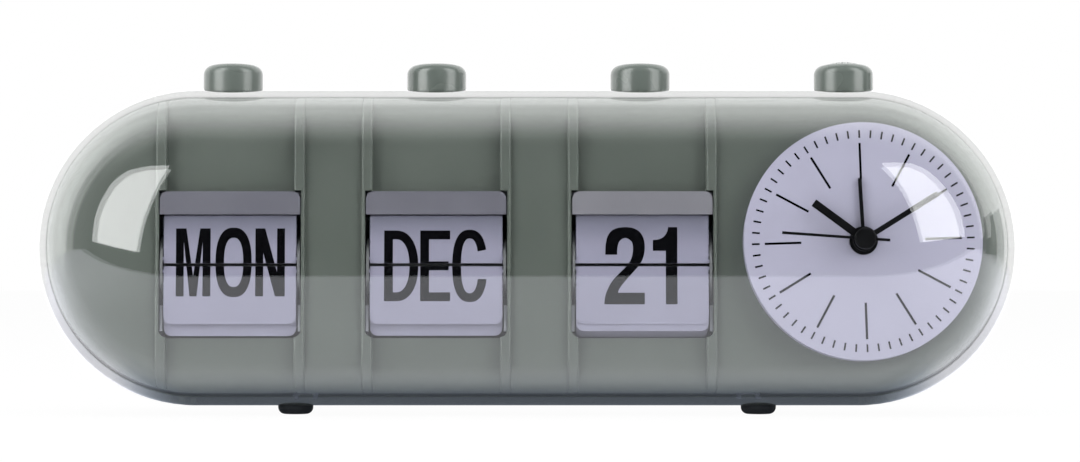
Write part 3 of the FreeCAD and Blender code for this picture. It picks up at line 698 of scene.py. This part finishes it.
@dataclass(frozen=True)
class Alphabet:
    """Condensed sans-serif capitals and digits, as closed outlines.

    A letter is drawn width wide and 1 high; stem and bar are its strokes' thicknesses, in the same unit.
    """

    stem: float = 0.124
    bar: float = 0.125

    def outline(self, letter: str, width: float) -> list[Loop]:
        """The outlines of one letter.

        Args:
            letter: the letter or digit.
            width: its width, where its height is 1.

        Returns:
            Closed outlines; one inside another is a hole.
        """
        draw = {
            "M": self.m, "O": self.o, "N": self.n, "D": self.d, "E": self.e, "C": self.c,
            "T": self.t, "U": self.u, "J": self.j, "A": self.a, "1": self.one, "2": self.two,
        }
        return draw[letter](width)

    def m(self, w: float) -> list[Loop]:
        """M, with its middle reaching the baseline."""
        s = self.stem * 0.93
        top, foot = w * 0.30, w * 0.10
        return [[(0, 0), (0, 1), (top, 1), (w / 2, 0.30), (w - top, 1), (w, 1), (w, 0), (w - s, 0),
                 (w - s, 0.80), (w / 2 + foot, 0), (w / 2 - foot, 0), (s, 0.80), (s, 0)]]

    def n(self, w: float) -> list[Loop]:
        """N."""
        s = self.stem * 0.93
        top = w * 0.33
        return [[(0, 0), (0, 1), (top, 1), (w - s, 0.36), (w - s, 1), (w, 1), (w, 0), (w - top, 0),
                 (s, 0.64), (s, 0)]]

    def o(self, w: float) -> list[Loop]:
        """O."""
        outer = Bowl((w / 2, 0.5), w / 2, 0.512).arc(0, 360, 72)[:-1]
        inner = Bowl((w / 2, 0.5), w / 2 - self.stem, 0.512 - self.bar * 1.2).arc(0, 360, 72)[:-1]
        return [outer, inner]

    def d(self, w: float) -> list[Loop]:
        """D."""
        s, b = self.stem, self.bar
        turn = w * 0.36
        outer = [(0, 0), *Bowl((turn, 0.5), w - turn, 0.5, 2.2).arc(-90, 90, 40), (0, 1)]
        inner = [(s, b), *Bowl((turn, 0.5), w - turn - s, 0.5 - b, 2.2).arc(-90, 90, 40), (s, 1 - b)]
        return [outer, inner]

    def e(self, w: float) -> list[Loop]:
        """E."""
        s, b = self.stem, self.bar
        arm = w * 0.95
        return [[(0, 0), (0, 1), (w, 1), (w, 1 - b), (s, 1 - b), (s, 0.5 + b / 2), (arm, 0.5 + b / 2),
                 (arm, 0.5 - b / 2), (s, 0.5 - b / 2), (s, b), (w, b), (w, 0)]]

    def c(self, w: float) -> list[Loop]:
        """C, open to the right with sloping ends."""
        outer = Bowl((w / 2, 0.5), w / 2, 0.512).arc(22, 343, 72)
        inner = Bowl((w / 2, 0.5), w / 2 - self.stem, 0.512 - self.bar).arc(336, 27, 72)
        return [outer + inner]

    def t(self, w: float) -> list[Loop]:
        """T."""
        b, half = self.bar, self.stem / 2
        return [[(0, 1), (w, 1), (w, 1 - b), (w / 2 + half, 1 - b), (w / 2 + half, 0),
                 (w / 2 - half, 0), (w / 2 - half, 1 - b), (0, 1 - b)]]

    def u(self, w: float) -> list[Loop]:
        """U."""
        s = self.stem
        outer = Bowl((w / 2, 0.34), w / 2, 0.352).arc(180, 360, 40)
        inner = Bowl((w / 2, 0.34), w / 2 - s, 0.352 - self.bar).arc(360, 180, 40)
        return [[(0, 1), *outer, (w, 1), (w - s, 1), *inner, (s, 1)]]

    def j(self, w: float) -> list[Loop]:
        """J."""
        s = self.stem
        outer = Bowl((w / 2, 0.30), w / 2, 0.312).arc(185, 360, 40)
        inner = Bowl((w / 2, 0.30), w / 2 - s, 0.312 - self.bar).arc(360, 185, 40)
        return [[*outer, (w, 1), (w - s, 1), *inner]]

    def a(self, w: float) -> list[Loop]:
        """A."""
        s = self.stem * 1.02
        peak = w * 0.17
        body = [(0, 0), (w / 2 - peak, 1), (w / 2 + peak, 1), (w, 0), (w - s, 0), (w - s * 1.5, 0.24),
                (s * 1.5, 0.24), (s, 0)]
        hole = [(w / 2, 0.86), (w - s * 1.75, 0.34), (s * 1.75, 0.34)]
        return [body, hole]

    def one(self, w: float) -> list[Loop]:
        """1, with a curved flag."""
        s = self.stem
        flag = catmull([(w - 0.118, 1.0), (w - 0.136, 0.93), (w - 0.18, 0.872), (w - 0.24, 0.842),
                        (0.0, 0.832)])
        return [[(w - s, 0), (w, 0), (w, 1), *flag, (0.0, 0.692), (w - s, 0.692)]]

    def two(self, w: float) -> list[Loop]:
        """2, with a flat foot."""
        outer = catmull([(0.012, 0.642), (0.018, 0.78), (0.052, 0.90), (0.13, 0.975), (0.27, 1.0),
                         (0.40, 0.975), (0.485, 0.895), (0.517, 0.77), (0.505, 0.63), (0.455, 0.52),
                         (0.36, 0.405), (0.27, 0.305), (0.20, 0.215), (0.172, 0.150)])
        inner = catmull([(0.0, 0.0), (0.006, 0.075), (0.03, 0.165), (0.09, 0.285), (0.19, 0.40),
                         (0.28, 0.49), (0.338, 0.575), (0.362, 0.66), (0.366, 0.745), (0.345, 0.815),
                         (0.27, 0.858), (0.198, 0.82), (0.168, 0.73), (0.166, 0.642)])
        scale = w / 0.517
        foot = [(0.517, 0.150), (0.517, 0.0)]
        return [[(x * scale, z) for x, z in outer + foot + inner]]


CAPITALS = Alphabet()
DIGITS = Alphabet(stem=0.149, bar=0.15)


@dataclass(frozen=True)
class Word:
    """A printed word: where each letter starts and how wide it is, and where it stands on the split."""

    letters: str
    starts: tuple[float, ...]
    widths: tuple[float, ...]
    above: float
    below: float

    def loops(self) -> list[Loop]:
        """The word's outlines, in millimetres from the card's middle and from the split line.

        Returns:
            Closed outlines.
        """
        alphabet = CAPITALS if self.letters.isalpha() else DIGITS
        height = self.above + self.below
        found: list[Loop] = []
        for letter, start, width in zip(self.letters, self.starts, self.widths):
            for loop in alphabet.outline(letter, width / height):
                found.append([(start + x * height, -self.below + z * height) for x, z in loop])
        return found


def flat_print(loops: list[Loop], name: str) -> Mesh:
    """A flat filled mesh from closed outlines, in the XZ plane.

    Args:
        loops: the outlines; one inside another is a hole.
        name: the mesh's name.

    Returns:
        The mesh, at Y = 0.
    """
    curve = bpy.data.curves.new(name + "_curve", "CURVE")
    curve.dimensions = "2D"
    curve.fill_mode = "BOTH"
    for loop in loops:
        spline = curve.splines.new("POLY")
        spline.points.add(len(loop) - 1)
        for point, (x, z) in zip(spline.points, loop):
            point.co = (x, z, 0, 1)
        spline.use_cyclic_u = True
    holder = show(bpy.data.objects.new(name + "_holder", curve))
    mesh = bpy.data.meshes.new_from_object(holder.evaluated_get(bpy.context.evaluated_depsgraph_get()))
    bpy.data.objects.remove(holder)
    bpy.data.curves.remove(curve)
    mesh.name = name
    mesh.transform(Matrix.Rotation(math.radians(90), 4, "X"))
    return mesh


def keep_half(mesh: Mesh, half: Half, gap: float) -> None:
    """Cut a print along the split and keep one half.

    Args:
        mesh: the print, with the split at Z = 0.
        half: the half to keep.
        gap: how far from the split the kept half starts.
    """
    work = bmesh.new()
    work.from_mesh(mesh)
    bmesh.ops.bisect_plane(
        work,
        geom=work.verts[:] + work.edges[:] + work.faces[:],
        dist=1e-6,
        plane_co=(0, 0, half.value * gap),
        plane_no=(0, 0, half.value),
        clear_inner=True,
    )
    work.to_mesh(mesh)
    work.free()


# The clock's sub-assemblies


@dataclass
class ClearCover:
    """The clear front half of the capsule, with its two snap hooks."""

    length: float = 255.0
    radius: float = 41.25
    wall: float = 2.0
    hook_x: float = 57.5
    hook_width: float = 6.3
    hook_reach: float = 4.0
    hook_band: float = 1.6
    hook_depth: float = 3.0
    hook_slot: float = 1.9
    hook_top: float = -36.95
    around: int = 96
    turns: int = 64
    touching: float = 1e-6

    def shell(self) -> Mesh:
        """The half capsule as one closed wall.

        Returns:
            The mesh, in case millimetres.
        """
        work = bmesh.new()
        end = self.length / 2 - self.radius
        stations: Loop = []
        for sign in (1, -1):
            for k in range(self.around + 1):
                stations.append((sign * end, sign * math.pi / 2 - math.pi * k / self.around))
        for radius in (self.radius - self.wall, self.radius):
            self.skin(work, radius, stations)
        self.rim(work, stations)
        bmesh.ops.remove_doubles(work, verts=work.verts[:], dist=1e-4)
        return mesh_from(work, "clear_cover")

    def bridge(self, work: bmesh.types.BMesh, rows: list[list[bmesh.types.BMVert]]) -> None:
        """Faces between neighbouring rows of vertices, all the way round, added to a bmesh.

        Args:
            work: the bmesh.
            rows: the rows, each as long as the others.
        """
        for a, b in zip(rows, rows[1:] + rows[:1]):
            for k in range(len(a) - 1):
                corners = [a[k], a[k + 1], b[k + 1], b[k]]
                if (a[k + 1].co - b[k + 1].co).length < self.touching:
                    corners = [a[k], a[k + 1], b[k]]
                work.faces.new(corners)

    def skin(self, work: bmesh.types.BMesh, radius: float, stations: Loop) -> None:
        """One of the wall's two curved faces, added to a bmesh.

        Args:
            work: the bmesh.
            radius: the skin's radius.
            stations: where the section stands: the end's X and the section's angle round it.
        """
        rows = []
        for x, angle in stations:
            row = []
            for k in range(self.turns + 1):
                a = math.pi / 2 * k / self.turns
                out = radius * math.cos(a)
                place = (x + out * math.cos(angle), -radius * math.sin(a), out * math.sin(angle))
                row.append(work.verts.new(place))
            rows.append(row)
        self.bridge(work, rows)

    def rim(self, work: bmesh.types.BMesh, stations: Loop) -> None:
        """The flat rim that joins the two skins, added to a bmesh.

        Args:
            work: the bmesh.
            stations: as for skin.
        """
        radii = (self.radius - self.wall, self.radius)
        rows = []
        for x, angle in stations:
            edges = [(x + r * math.cos(angle), 0.0, r * math.sin(angle)) for r in radii]
            rows.append([work.verts.new(edge) for edge in edges])
        self.bridge(work, rows)

    def hook(self, side: Side) -> Mesh:
        """One snap hook: two legs under a band, and the slotted tongue that goes into the back.

        Args:
            side: the hook's place.

        Returns:
            The mesh, in case millimetres.
        """
        x, half, slot = side.value * self.hook_x, self.hook_width / 2, self.hook_slot
        front, slot_start, slot_end = -self.hook_depth, self.hook_reach / 4, self.hook_reach * 0.75
        low = -(self.radius - self.wall * 0.75)
        top, under = self.hook_top, self.hook_top - self.hook_band
        work = bmesh.new()
        blocks = [
            (-half, -slot, front, 0.0, low, under),
            (slot, half, front, 0.0, low, under),
            (-half, half, front, slot_start, under, top),
            (-half, -slot, slot_start, slot_end, under, top),
            (slot, half, slot_start, slot_end, under, top),
            (-half, half, slot_end, self.hook_reach, under, top),
        ]
        for x0, x1, y0, y1, z0, z1 in blocks:
            size = Matrix.Diagonal((x1 - x0, y1 - y0, z1 - z0, 1))
            middle = Matrix.Translation((x + (x0 + x1) / 2, (y0 + y1) / 2, (z0 + z1) / 2))
            bmesh.ops.create_cube(work, size=1.0, matrix=middle @ size)
        return mesh_from(work, "cover_hook_" + side.name.lower())

    def build(self, palette: Palette) -> None:
        """Add the cover and its hooks.

        Args:
            palette: the finishes.
        """
        mesh = self.shell()
        smooth(mesh)
        cover = add_piece("clear_front_cover", mesh, "case")
        palette.paint(cover, "clear_cover")
        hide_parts("front_cover")
        for side in Side:
            hook = add_piece("cover_hook_" + side.name.lower(), self.hook(side), "case")
            palette.paint(hook, "cover_hooks")


@dataclass
class CalendarModule:
    """One card drum: its nodes' finishes and the words printed on its front cards."""

    name: str
    x: float
    cards: int
    pin_pitch: float
    now: Word
    after: Word
    frame_finish: str = "frame_plastic"
    split_z: float = -5.8
    card_y: float = -14.5
    card_thickness: float = 0.3
    card_gap: float = 0.4
    print_lift: float = 0.025

    def pin(self, steps: float) -> Point:
        """The Y and Z of the pin hole that is so many steps round the drum from its front.

        Args:
            steps: steps of the drum, upwards.

        Returns:
            Y and Z, in case millimetres.
        """
        step = 2 * math.pi / self.cards
        radius = self.pin_pitch / (2 * math.sin(step / 2))
        axis_y = self.card_y + radius * math.cos(step / 2)
        return axis_y - radius * math.cos(step * steps), self.split_z + radius * math.sin(step * steps)

    def print_on(
        self, card: str, word: Word, half: Half, face: Face, palette: Palette, shift: Point = (0, 0)
    ) -> None:
        """Print half of a word on a card.

        Args:
            card: the card's name without the module's.
            word: the word.
            half: the half of the word that shows when the card is at the front.
            face: the side of the card.
            palette: the finishes.
            shift: how far behind (Y) and above (Z) its front place the card now stands.
        """
        name = f"{self.name}_{card}_print_{half.name.lower()}"
        mesh = flat_print(word.loops(), name)
        keep_half(mesh, half, self.card_gap)
        if face is Face.BACK:
            mesh.transform(Matrix.Diagonal((1, 1, -1, 1)))
        lift = self.card_thickness / 2 + self.print_lift
        place = (self.x, self.card_y + shift[0] + face.value * lift, self.split_z + shift[1])
        mesh.transform(Matrix.Translation(place))
        piece = add_piece(name, mesh, f"{self.name}_{card}")
        palette.paint(piece, "ink")

    def build(self, nodes: dict[str, Piece], palette: Palette) -> None:
        """Finish the module's nodes and print its cards.

        Args:
            nodes: the frame's nodes.
            palette: the finishes.
        """
        for ending, finish in {
            "frame": self.frame_finish, "drum": "drum_plastic", "ratchet": "drive_plastic",
            "lever": "drive_plastic", "card_pack": "card_plastic", "upper_card": "card_plastic",
            "next_card": "card_plastic", "lower_card": "card_plastic", "button": "button_plastic",
            "spring": "steel",
        }.items():
            palette.paint(nodes[f"{self.name}_{ending}"], finish)
        let_give(nodes[f"{self.name}_spring"])
        front, behind = self.pin(0.5), self.pin(1.5)
        shift = (behind[0] - front[0], behind[1] - front[1])
        self.print_on("upper_card", self.now, Half.UPPER, Face.FRONT, palette)
        self.print_on("lower_card", self.now, Half.LOWER, Face.FRONT, palette)
        self.print_on("next_card", self.after, Half.UPPER, Face.FRONT, palette, shift)
        self.print_on("upper_card", self.after, Half.LOWER, Face.BACK, palette)


@dataclass
class Dial:
    """The round dial's printed marks and its hands."""

    x: float = 86.25
    y: float = -19.0
    turn: float = math.radians(1.8)
    minute_inner: float = 26.6
    minute_outer: float = 28.6
    minute_width: float = 0.45
    hour_inner: float = 15.9
    hour_outer: float = 25.3
    hour_width: float = 0.6
    ink_lift: float = 0.02
    minutes: int = 60
    hours: int = 12

    def marks(self) -> Mesh:
        """All the minute and hour marks as flat bars.

        Returns:
            The mesh, in case millimetres.
        """
        work = bmesh.new()
        rings = [
            (self.minutes, self.minute_inner, self.minute_outer, self.minute_width / 2),
            (self.hours, self.hour_inner, self.hour_outer, self.hour_width / 2),
        ]
        for count, inner, outer, half in rings:
            for k in range(count):
                spin = Matrix.Rotation(2 * math.pi * k / count - self.turn, 4, "Y")
                place = Matrix.Translation((self.x, self.y - self.ink_lift, 0.0)) @ spin
                corners = [(-half, inner), (half, inner), (half, outer), (-half, outer)]
                work.faces.new([work.verts.new(place @ Vector((x, 0.0, z))) for x, z in corners])
        return mesh_from(work, "dial_marks", outward=False)

    def build(self, nodes: dict[str, Piece], palette: Palette) -> None:
        """Finish the dial and its hands, and print the marks.

        Args:
            nodes: the frame's nodes.
            palette: the finishes.
        """
        palette.paint(nodes["dial"], "dial_plate")
        for hand in ("alarm_hand", "hour_hand", "minute_hand", "second_hand"):
            palette.paint(nodes[hand], "hand_paint")
        marks = add_piece("dial_marks", self.marks(), "case")
        palette.paint(marks, "ink")


@dataclass
class PlainNodes:
    """The nodes that keep their own shape and only take a finish."""

    finishes: dict[str, tuple[str, ...]] = field(
        default_factory=lambda: {
            "case_plastic": ("rear_shell", "battery_door"),
            "fascia_plastic": ("fascia",),
            "cell_jacket": ("battery",),
            "steel": ("battery_contacts", "case_screws", "alarm_spring"),
            "foot_rubber": ("feet",),
            "button_plastic": ("alarm_button",),
            "movement_plastic": ("movement_case", "movement_lid"),
            "winding": ("movement_coil",),
            "board": ("circuit_board",),
            "sounder": ("buzzer",),
            "arbor_metal": ("alarm_wheel", "hour_wheel", "minute_wheel"),
            "control_plastic": ("time_set_knob", "alarm_set_knob", "alarm_switch"),
        }
    )

    def build(self, nodes: dict[str, Piece], palette: Palette) -> None:
        """Give each node its finish.

        Args:
            nodes: the frame's nodes.
            palette: the finishes.
        """
        for finish, names in self.finishes.items():
            for name in names:
                palette.paint(nodes[name], finish)
                LOG.info("%s finished in %s", name, finish)
        let_give(nodes["alarm_spring"])


# Studio


@dataclass
class Studio:
    """The pale floor, the soft lights, what the gloss reflects, and the camera."""

    lens: float = 134.0
    distance: float = 1.05
    aim_height: float = 0.04355
    shift: Point = (0.012, 0.0151)
    floor_size: float = 6.0
    floor_white: float = 0.965
    ambient: float = 0.55
    room_level: float = 3.2
    room_above: tuple[Point, ...] = (
        (0.0, 0.13), (0.18, 0.45), (0.41, 0.72), (0.60, 0.61), (0.68, 0.47), (0.76, 0.47), (0.84, 0.58),
        (0.93, 0.56), (1.0, 0.44),
    )
    room_beside: tuple[Point, ...] = (
        (0.0, 0.08), (0.20, 0.10), (0.235, 0.35), (0.27, 0.86), (0.33, 0.74), (0.42, 0.69), (0.55, 0.62),
        (0.70, 0.54), (0.80, 0.58), (0.90, 0.58), (1.0, 0.46),
    )
    beside_from: Point = (0.35, 0.9)
    dark_front: Point = (-0.12, 0.02)
    left_box: tuple[Point, ...] = (
        (-35, 56), (-37, 31), (-40, 10), (-42, -3), (-76, 3), (-77, 18), (-76, 34), (-71, 43), (-60, 49),
        (-49, 53),
    )
    left_glow: float = 7.0
    right_box: tuple[Point, ...] = (
        (34, 58), (51, 55), (65, 50), (72, 43), (76, 32), (79, 18), (79, 5), (46, 3), (43, 23), (40, 42),
    )
    right_glow: float = 5.8
    # Painted dark reflection at the right: a dimly glowing sheet that only gloss sees
    dark_reflection: tuple[Point, ...] = (
        (99, 3), (105, 4), (108, 11), (123, 11), (123, -5), (108, -9), (99, -4),
    )
    stand_glow: float = 0.12
    table_front: float = -0.134
    table_far: float = 3.0
    table_drop: float = 0.0005
    shade_depth: Point = (-0.0192, -0.0075)
    shade_half: Point = (0.088, 0.120)
    shade_level: float = 0.17
    shade_colour: Colour = (0.80, 0.93, 1.15)
    open_level: float = 1.3
    open_colour: Colour = (0.98, 0.98, 1.05)
    aside_half: Point = (0.08, 0.24)
    aside_gain: float = 0.62
    fade_depth: Point = (0.05, 0.5)
    overhead_size: Point = (1.6, 1.0)
    overhead_place: Place = (0.0, -0.1, 1.1)
    overhead_power: float = 9.0
    side_size: Point = (0.7, 0.9)
    side_place: Place = (0.85, -0.7, 0.45)
    side_power: float = 5.0

    def glow(self, name: str, strength: float) -> Material:
        """A white light-giving material for a reflected sheet.

        Args:
            name: its name.
            strength: how bright it is.

        Returns:
            The material.
        """
        nodes = NodeTree.for_material(name)
        return nodes.finish(nodes.add("ShaderNodeEmission", Color=WHITE, Strength=strength))

    def table_glow(self) -> Material:
        """Painted reflection of the table: pale, brighter aside, painted shade under the clock.

        Far behind the clock it fades away, so that no horizon shows.

        Returns:
            The material.
        """
        nodes = NodeTree.for_material("table_glow")
        x, y, _ = nodes.axes()
        aside = nodes.calc("ABSOLUTE", x)
        before = nodes.calc("SUBTRACT", 1.0, nodes.ease(y, *self.shade_depth))
        open_table = nodes.calc("MAXIMUM", nodes.ease(aside, *self.shade_half), before)
        far_aside = nodes.ease(aside, *self.aside_half)
        gain = nodes.calc("MULTIPLY_ADD", far_aside, self.aside_gain, self.open_level)
        light = nodes.add("ShaderNodeEmission")
        nodes.link(nodes.blend(open_table, self.shade_colour, self.open_colour), light.inputs["Color"])
        rise = nodes.calc("SUBTRACT", gain, self.shade_level)
        strength = nodes.calc("MULTIPLY_ADD", rise, open_table, self.shade_level)
        nodes.link(strength, light.inputs["Strength"])
        nothing = nodes.add("ShaderNodeBsdfTransparent")
        return nodes.finish(nodes.fade(nodes.ease(y, *self.fade_depth), light, nothing))

    def around(self, places: tuple[Point, ...]) -> list[Vector]:
        """Points one metre from the clock.

        Args:
            places: for each its azimuth, from the front to the right, and its elevation, in degrees.

        Returns:
            The points in metres.
        """
        points = []
        for azimuth, elevation in places:
            a, e = math.radians(azimuth), math.radians(elevation)
            way = Vector((math.sin(a) * math.cos(e), -math.cos(a) * math.cos(e), math.sin(e)))
            points.append(Vector((0, 0, self.aim_height)) + way)
        return points

    def sheet(self, name: str, points: list[Vector], material: Material) -> None:
        """A glowing sheet that only glossy rays see.

        Args:
            name: its name.
            points: its corners in metres.
            material: what it glows with.
        """
        work = bmesh.new()
        work.faces.new([work.verts.new(point) for point in points])
        mesh = mesh_from(work, name)
        mesh.materials.append(material)
        sheet = show(bpy.data.objects.new(name, mesh))
        for ray in ("camera", "diffuse", "transmission", "volume_scatter", "shadow"):
            setattr(sheet, "visible_" + ray, False)

    def lamp(self, name: str, size: Point, place: Vector, power: float) -> None:
        """A soft rectangular lamp that faces the clock and that gloss doesn't show.

        Args:
            name: its name.
            size: width and height in metres.
            place: its middle.
            power: its power in watts.
        """
        data = bpy.data.lights.new(name, "AREA")
        data.shape = "RECTANGLE"
        data.size, data.size_y = size
        data.energy = power
        lamp = show(bpy.data.objects.new(name, data))
        lamp.location = place
        way = Vector((0, 0, self.aim_height)) - place
        lamp.rotation_euler = way.to_track_quat("-Z", "Y").to_euler()
        lamp.visible_glossy = False

    def floor(self) -> None:
        """The pale floor that takes the shadow; the camera sees it white."""
        nodes = NodeTree.for_material("floor_white")
        paper = nodes.add("ShaderNodeBsdfDiffuse", Color=(0.93, 0.93, 0.93, 1.0))
        white = nodes.add("ShaderNodeEmission", Color=WHITE, Strength=1.0)
        path = nodes.add("ShaderNodeLightPath")
        seen = nodes.calc("MULTIPLY", path.outputs["Is Camera Ray"], self.floor_white)
        material = nodes.finish(nodes.fade(seen, paper, white))
        work = bmesh.new()
        half = self.floor_size / 2
        corners = [(-half, -half, 0), (half, -half, 0), (half, half, 0), (-half, half, 0)]
        work.faces.new([work.verts.new(corner) for corner in corners])
        mesh = mesh_from(work, "floor", outward=False)
        mesh.materials.append(material)
        floor = show(bpy.data.objects.new("floor", mesh))
        floor.visible_glossy = False

    def reflected(self) -> None:
        """Painted reflections in the clear front: two softboxes, a dark patch at the right and the table."""
        self.sheet("softbox_left", self.around(self.left_box), self.glow("left_glow", self.left_glow))
        self.sheet("softbox_right", self.around(self.right_box), self.glow("right_glow", self.right_glow))
        self.sheet("dark_reflection", self.around(self.dark_reflection), self.glow("stand_glow", self.stand_glow))
        near, far = self.table_front, self.table_far
        corners = [(-far, near), (far, near), (far, far), (-far, far)]
        self.sheet("table_top", [Vector((x, y, -self.table_drop)) for x, y in corners], self.table_glow())

    def lamps(self) -> None:
        """The lamps that light the clock: one overhead, and one in front at each side."""
        self.lamp("overhead_lamp", self.overhead_size, Vector(self.overhead_place), self.overhead_power)
        x, y, z = self.side_place
        for side in Side:
            place = Vector((side.value * x, y, z))
            self.lamp(side.name.lower() + "_lamp", self.side_size, place, self.side_power)

    def world(self) -> None:
        """White for the camera and through the cover, plain for lighting, and a lit room for gloss.

        The room is dark in front of the clock and bright behind it, with its own levels above and beside.
        """
        world = bpy.data.worlds.new("studio")
        bpy.context.scene.world = world
        nodes = NodeTree(world, "ShaderNodeOutputWorld")
        path = nodes.add("ShaderNodeLightPath")
        seen = nodes.calc("MAXIMUM", path.outputs["Is Camera Ray"], path.outputs["Is Transmission Ray"])
        white = nodes.add("ShaderNodeBackground", Color=WHITE, Strength=1.0)
        plain = nodes.add("ShaderNodeBackground", Color=(0.95, 0.97, 1.0, 1.0), Strength=self.ambient)
        room = nodes.add("ShaderNodeBackground")
        x, y, _ = nodes.axes("Generated")
        just_over_one = 1.0001
        round_axis = nodes.calc("SQRT", nodes.calc("SUBTRACT", just_over_one, nodes.calc("MULTIPLY", y, y)))
        beside = nodes.ease(nodes.calc("DIVIDE", nodes.calc("ABSOLUTE", x), round_axis), *self.beside_from)
        above, aside = nodes.ramp(y, self.room_above), nodes.ramp(y, self.room_beside)
        nodes.link(nodes.blend(beside, above, aside), room.inputs["Color"])
        level = nodes.calc("MULTIPLY", nodes.ease(y, *self.dark_front), self.room_level)
        nodes.link(level, room.inputs["Strength"])
        lit = nodes.fade(path.outputs["Is Glossy Ray"], plain, room)
        nodes.finish(nodes.fade(seen, lit, white))

    def camera(self) -> None:
        """The camera, level with the clock's middle."""
        data = bpy.data.cameras.new("camera")
        data.sensor_width = 36.0
        data.lens = self.lens
        data.shift_x, data.shift_y = self.shift
        camera = show(bpy.data.objects.new("camera", data))
        camera.location = (0.0, -self.distance, self.aim_height)
        camera.rotation_euler = (math.radians(90), 0.0, 0.0)
        bpy.context.scene.camera = camera

    def build(self) -> None:
        """Set the whole studio."""
        self.floor()
        self.reflected()
        self.lamps()
        self.world()
        self.camera()
        bpy.context.scene.view_settings.view_transform = "Standard"
        LOG.info("studio set")


# The whole

WORD_MON = Word("MON", (-13.9, -3.7, 6.55), (8.9, 9.3, 7.6), 9.4, 8.15)
WORD_TUE = Word("TUE", (-12.6, -3.9, 5.6), (7.7, 8.4, 7.0), 9.4, 8.15)
WORD_DEC = Word("DEC", (-13.4, -4.1, 4.15), (8.8, 7.7, 9.0), 8.85, 9.4)
WORD_JAN = Word("JAN", (-12.6, -5.1, 5.3), (6.6, 9.4, 8.4), 8.85, 9.4)
WORD_21 = Word("21", (-9.8, 2.7), (10.4, 6.3), 9.75, 10.2)
WORD_22 = Word("22", (-11.2, 0.8), (10.4, 10.4), 9.75, 10.2)


def corners(box: tuple[Vector, Vector]) -> list[list[float]]:
    """A box's lowest and highest corner as plain lists of numbers."""
    return [[float(v) for v in corner] for corner in box]


def main() -> None:
    """Build every sub-assembly in order and set the studio."""
    logging.basicConfig(level=logging.INFO, format="%(name)s: %(message)s")
    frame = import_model()
    nodes = frame["nodes"]
    palette = Palette()
    palette.mix()
    PlainNodes().build(nodes, palette)
    modules = [
        CalendarModule(name="day", x=-76.5, cards=14, pin_pitch=3.3, now=WORD_MON, after=WORD_TUE),
        CalendarModule(name="month", x=-23.4, cards=12, pin_pitch=3.3, now=WORD_DEC, after=WORD_JAN),
        CalendarModule(name="date", x=29.7, cards=31, pin_pitch=1.8, now=WORD_21, after=WORD_22,
                       frame_finish="date_frame_plastic"),
    ]
    for module in modules:
        module.build(nodes, palette)
    Dial().build(nodes, palette)
    ClearCover().build(palette)
    Studio().build()


if __name__ == "__main__":
    main()
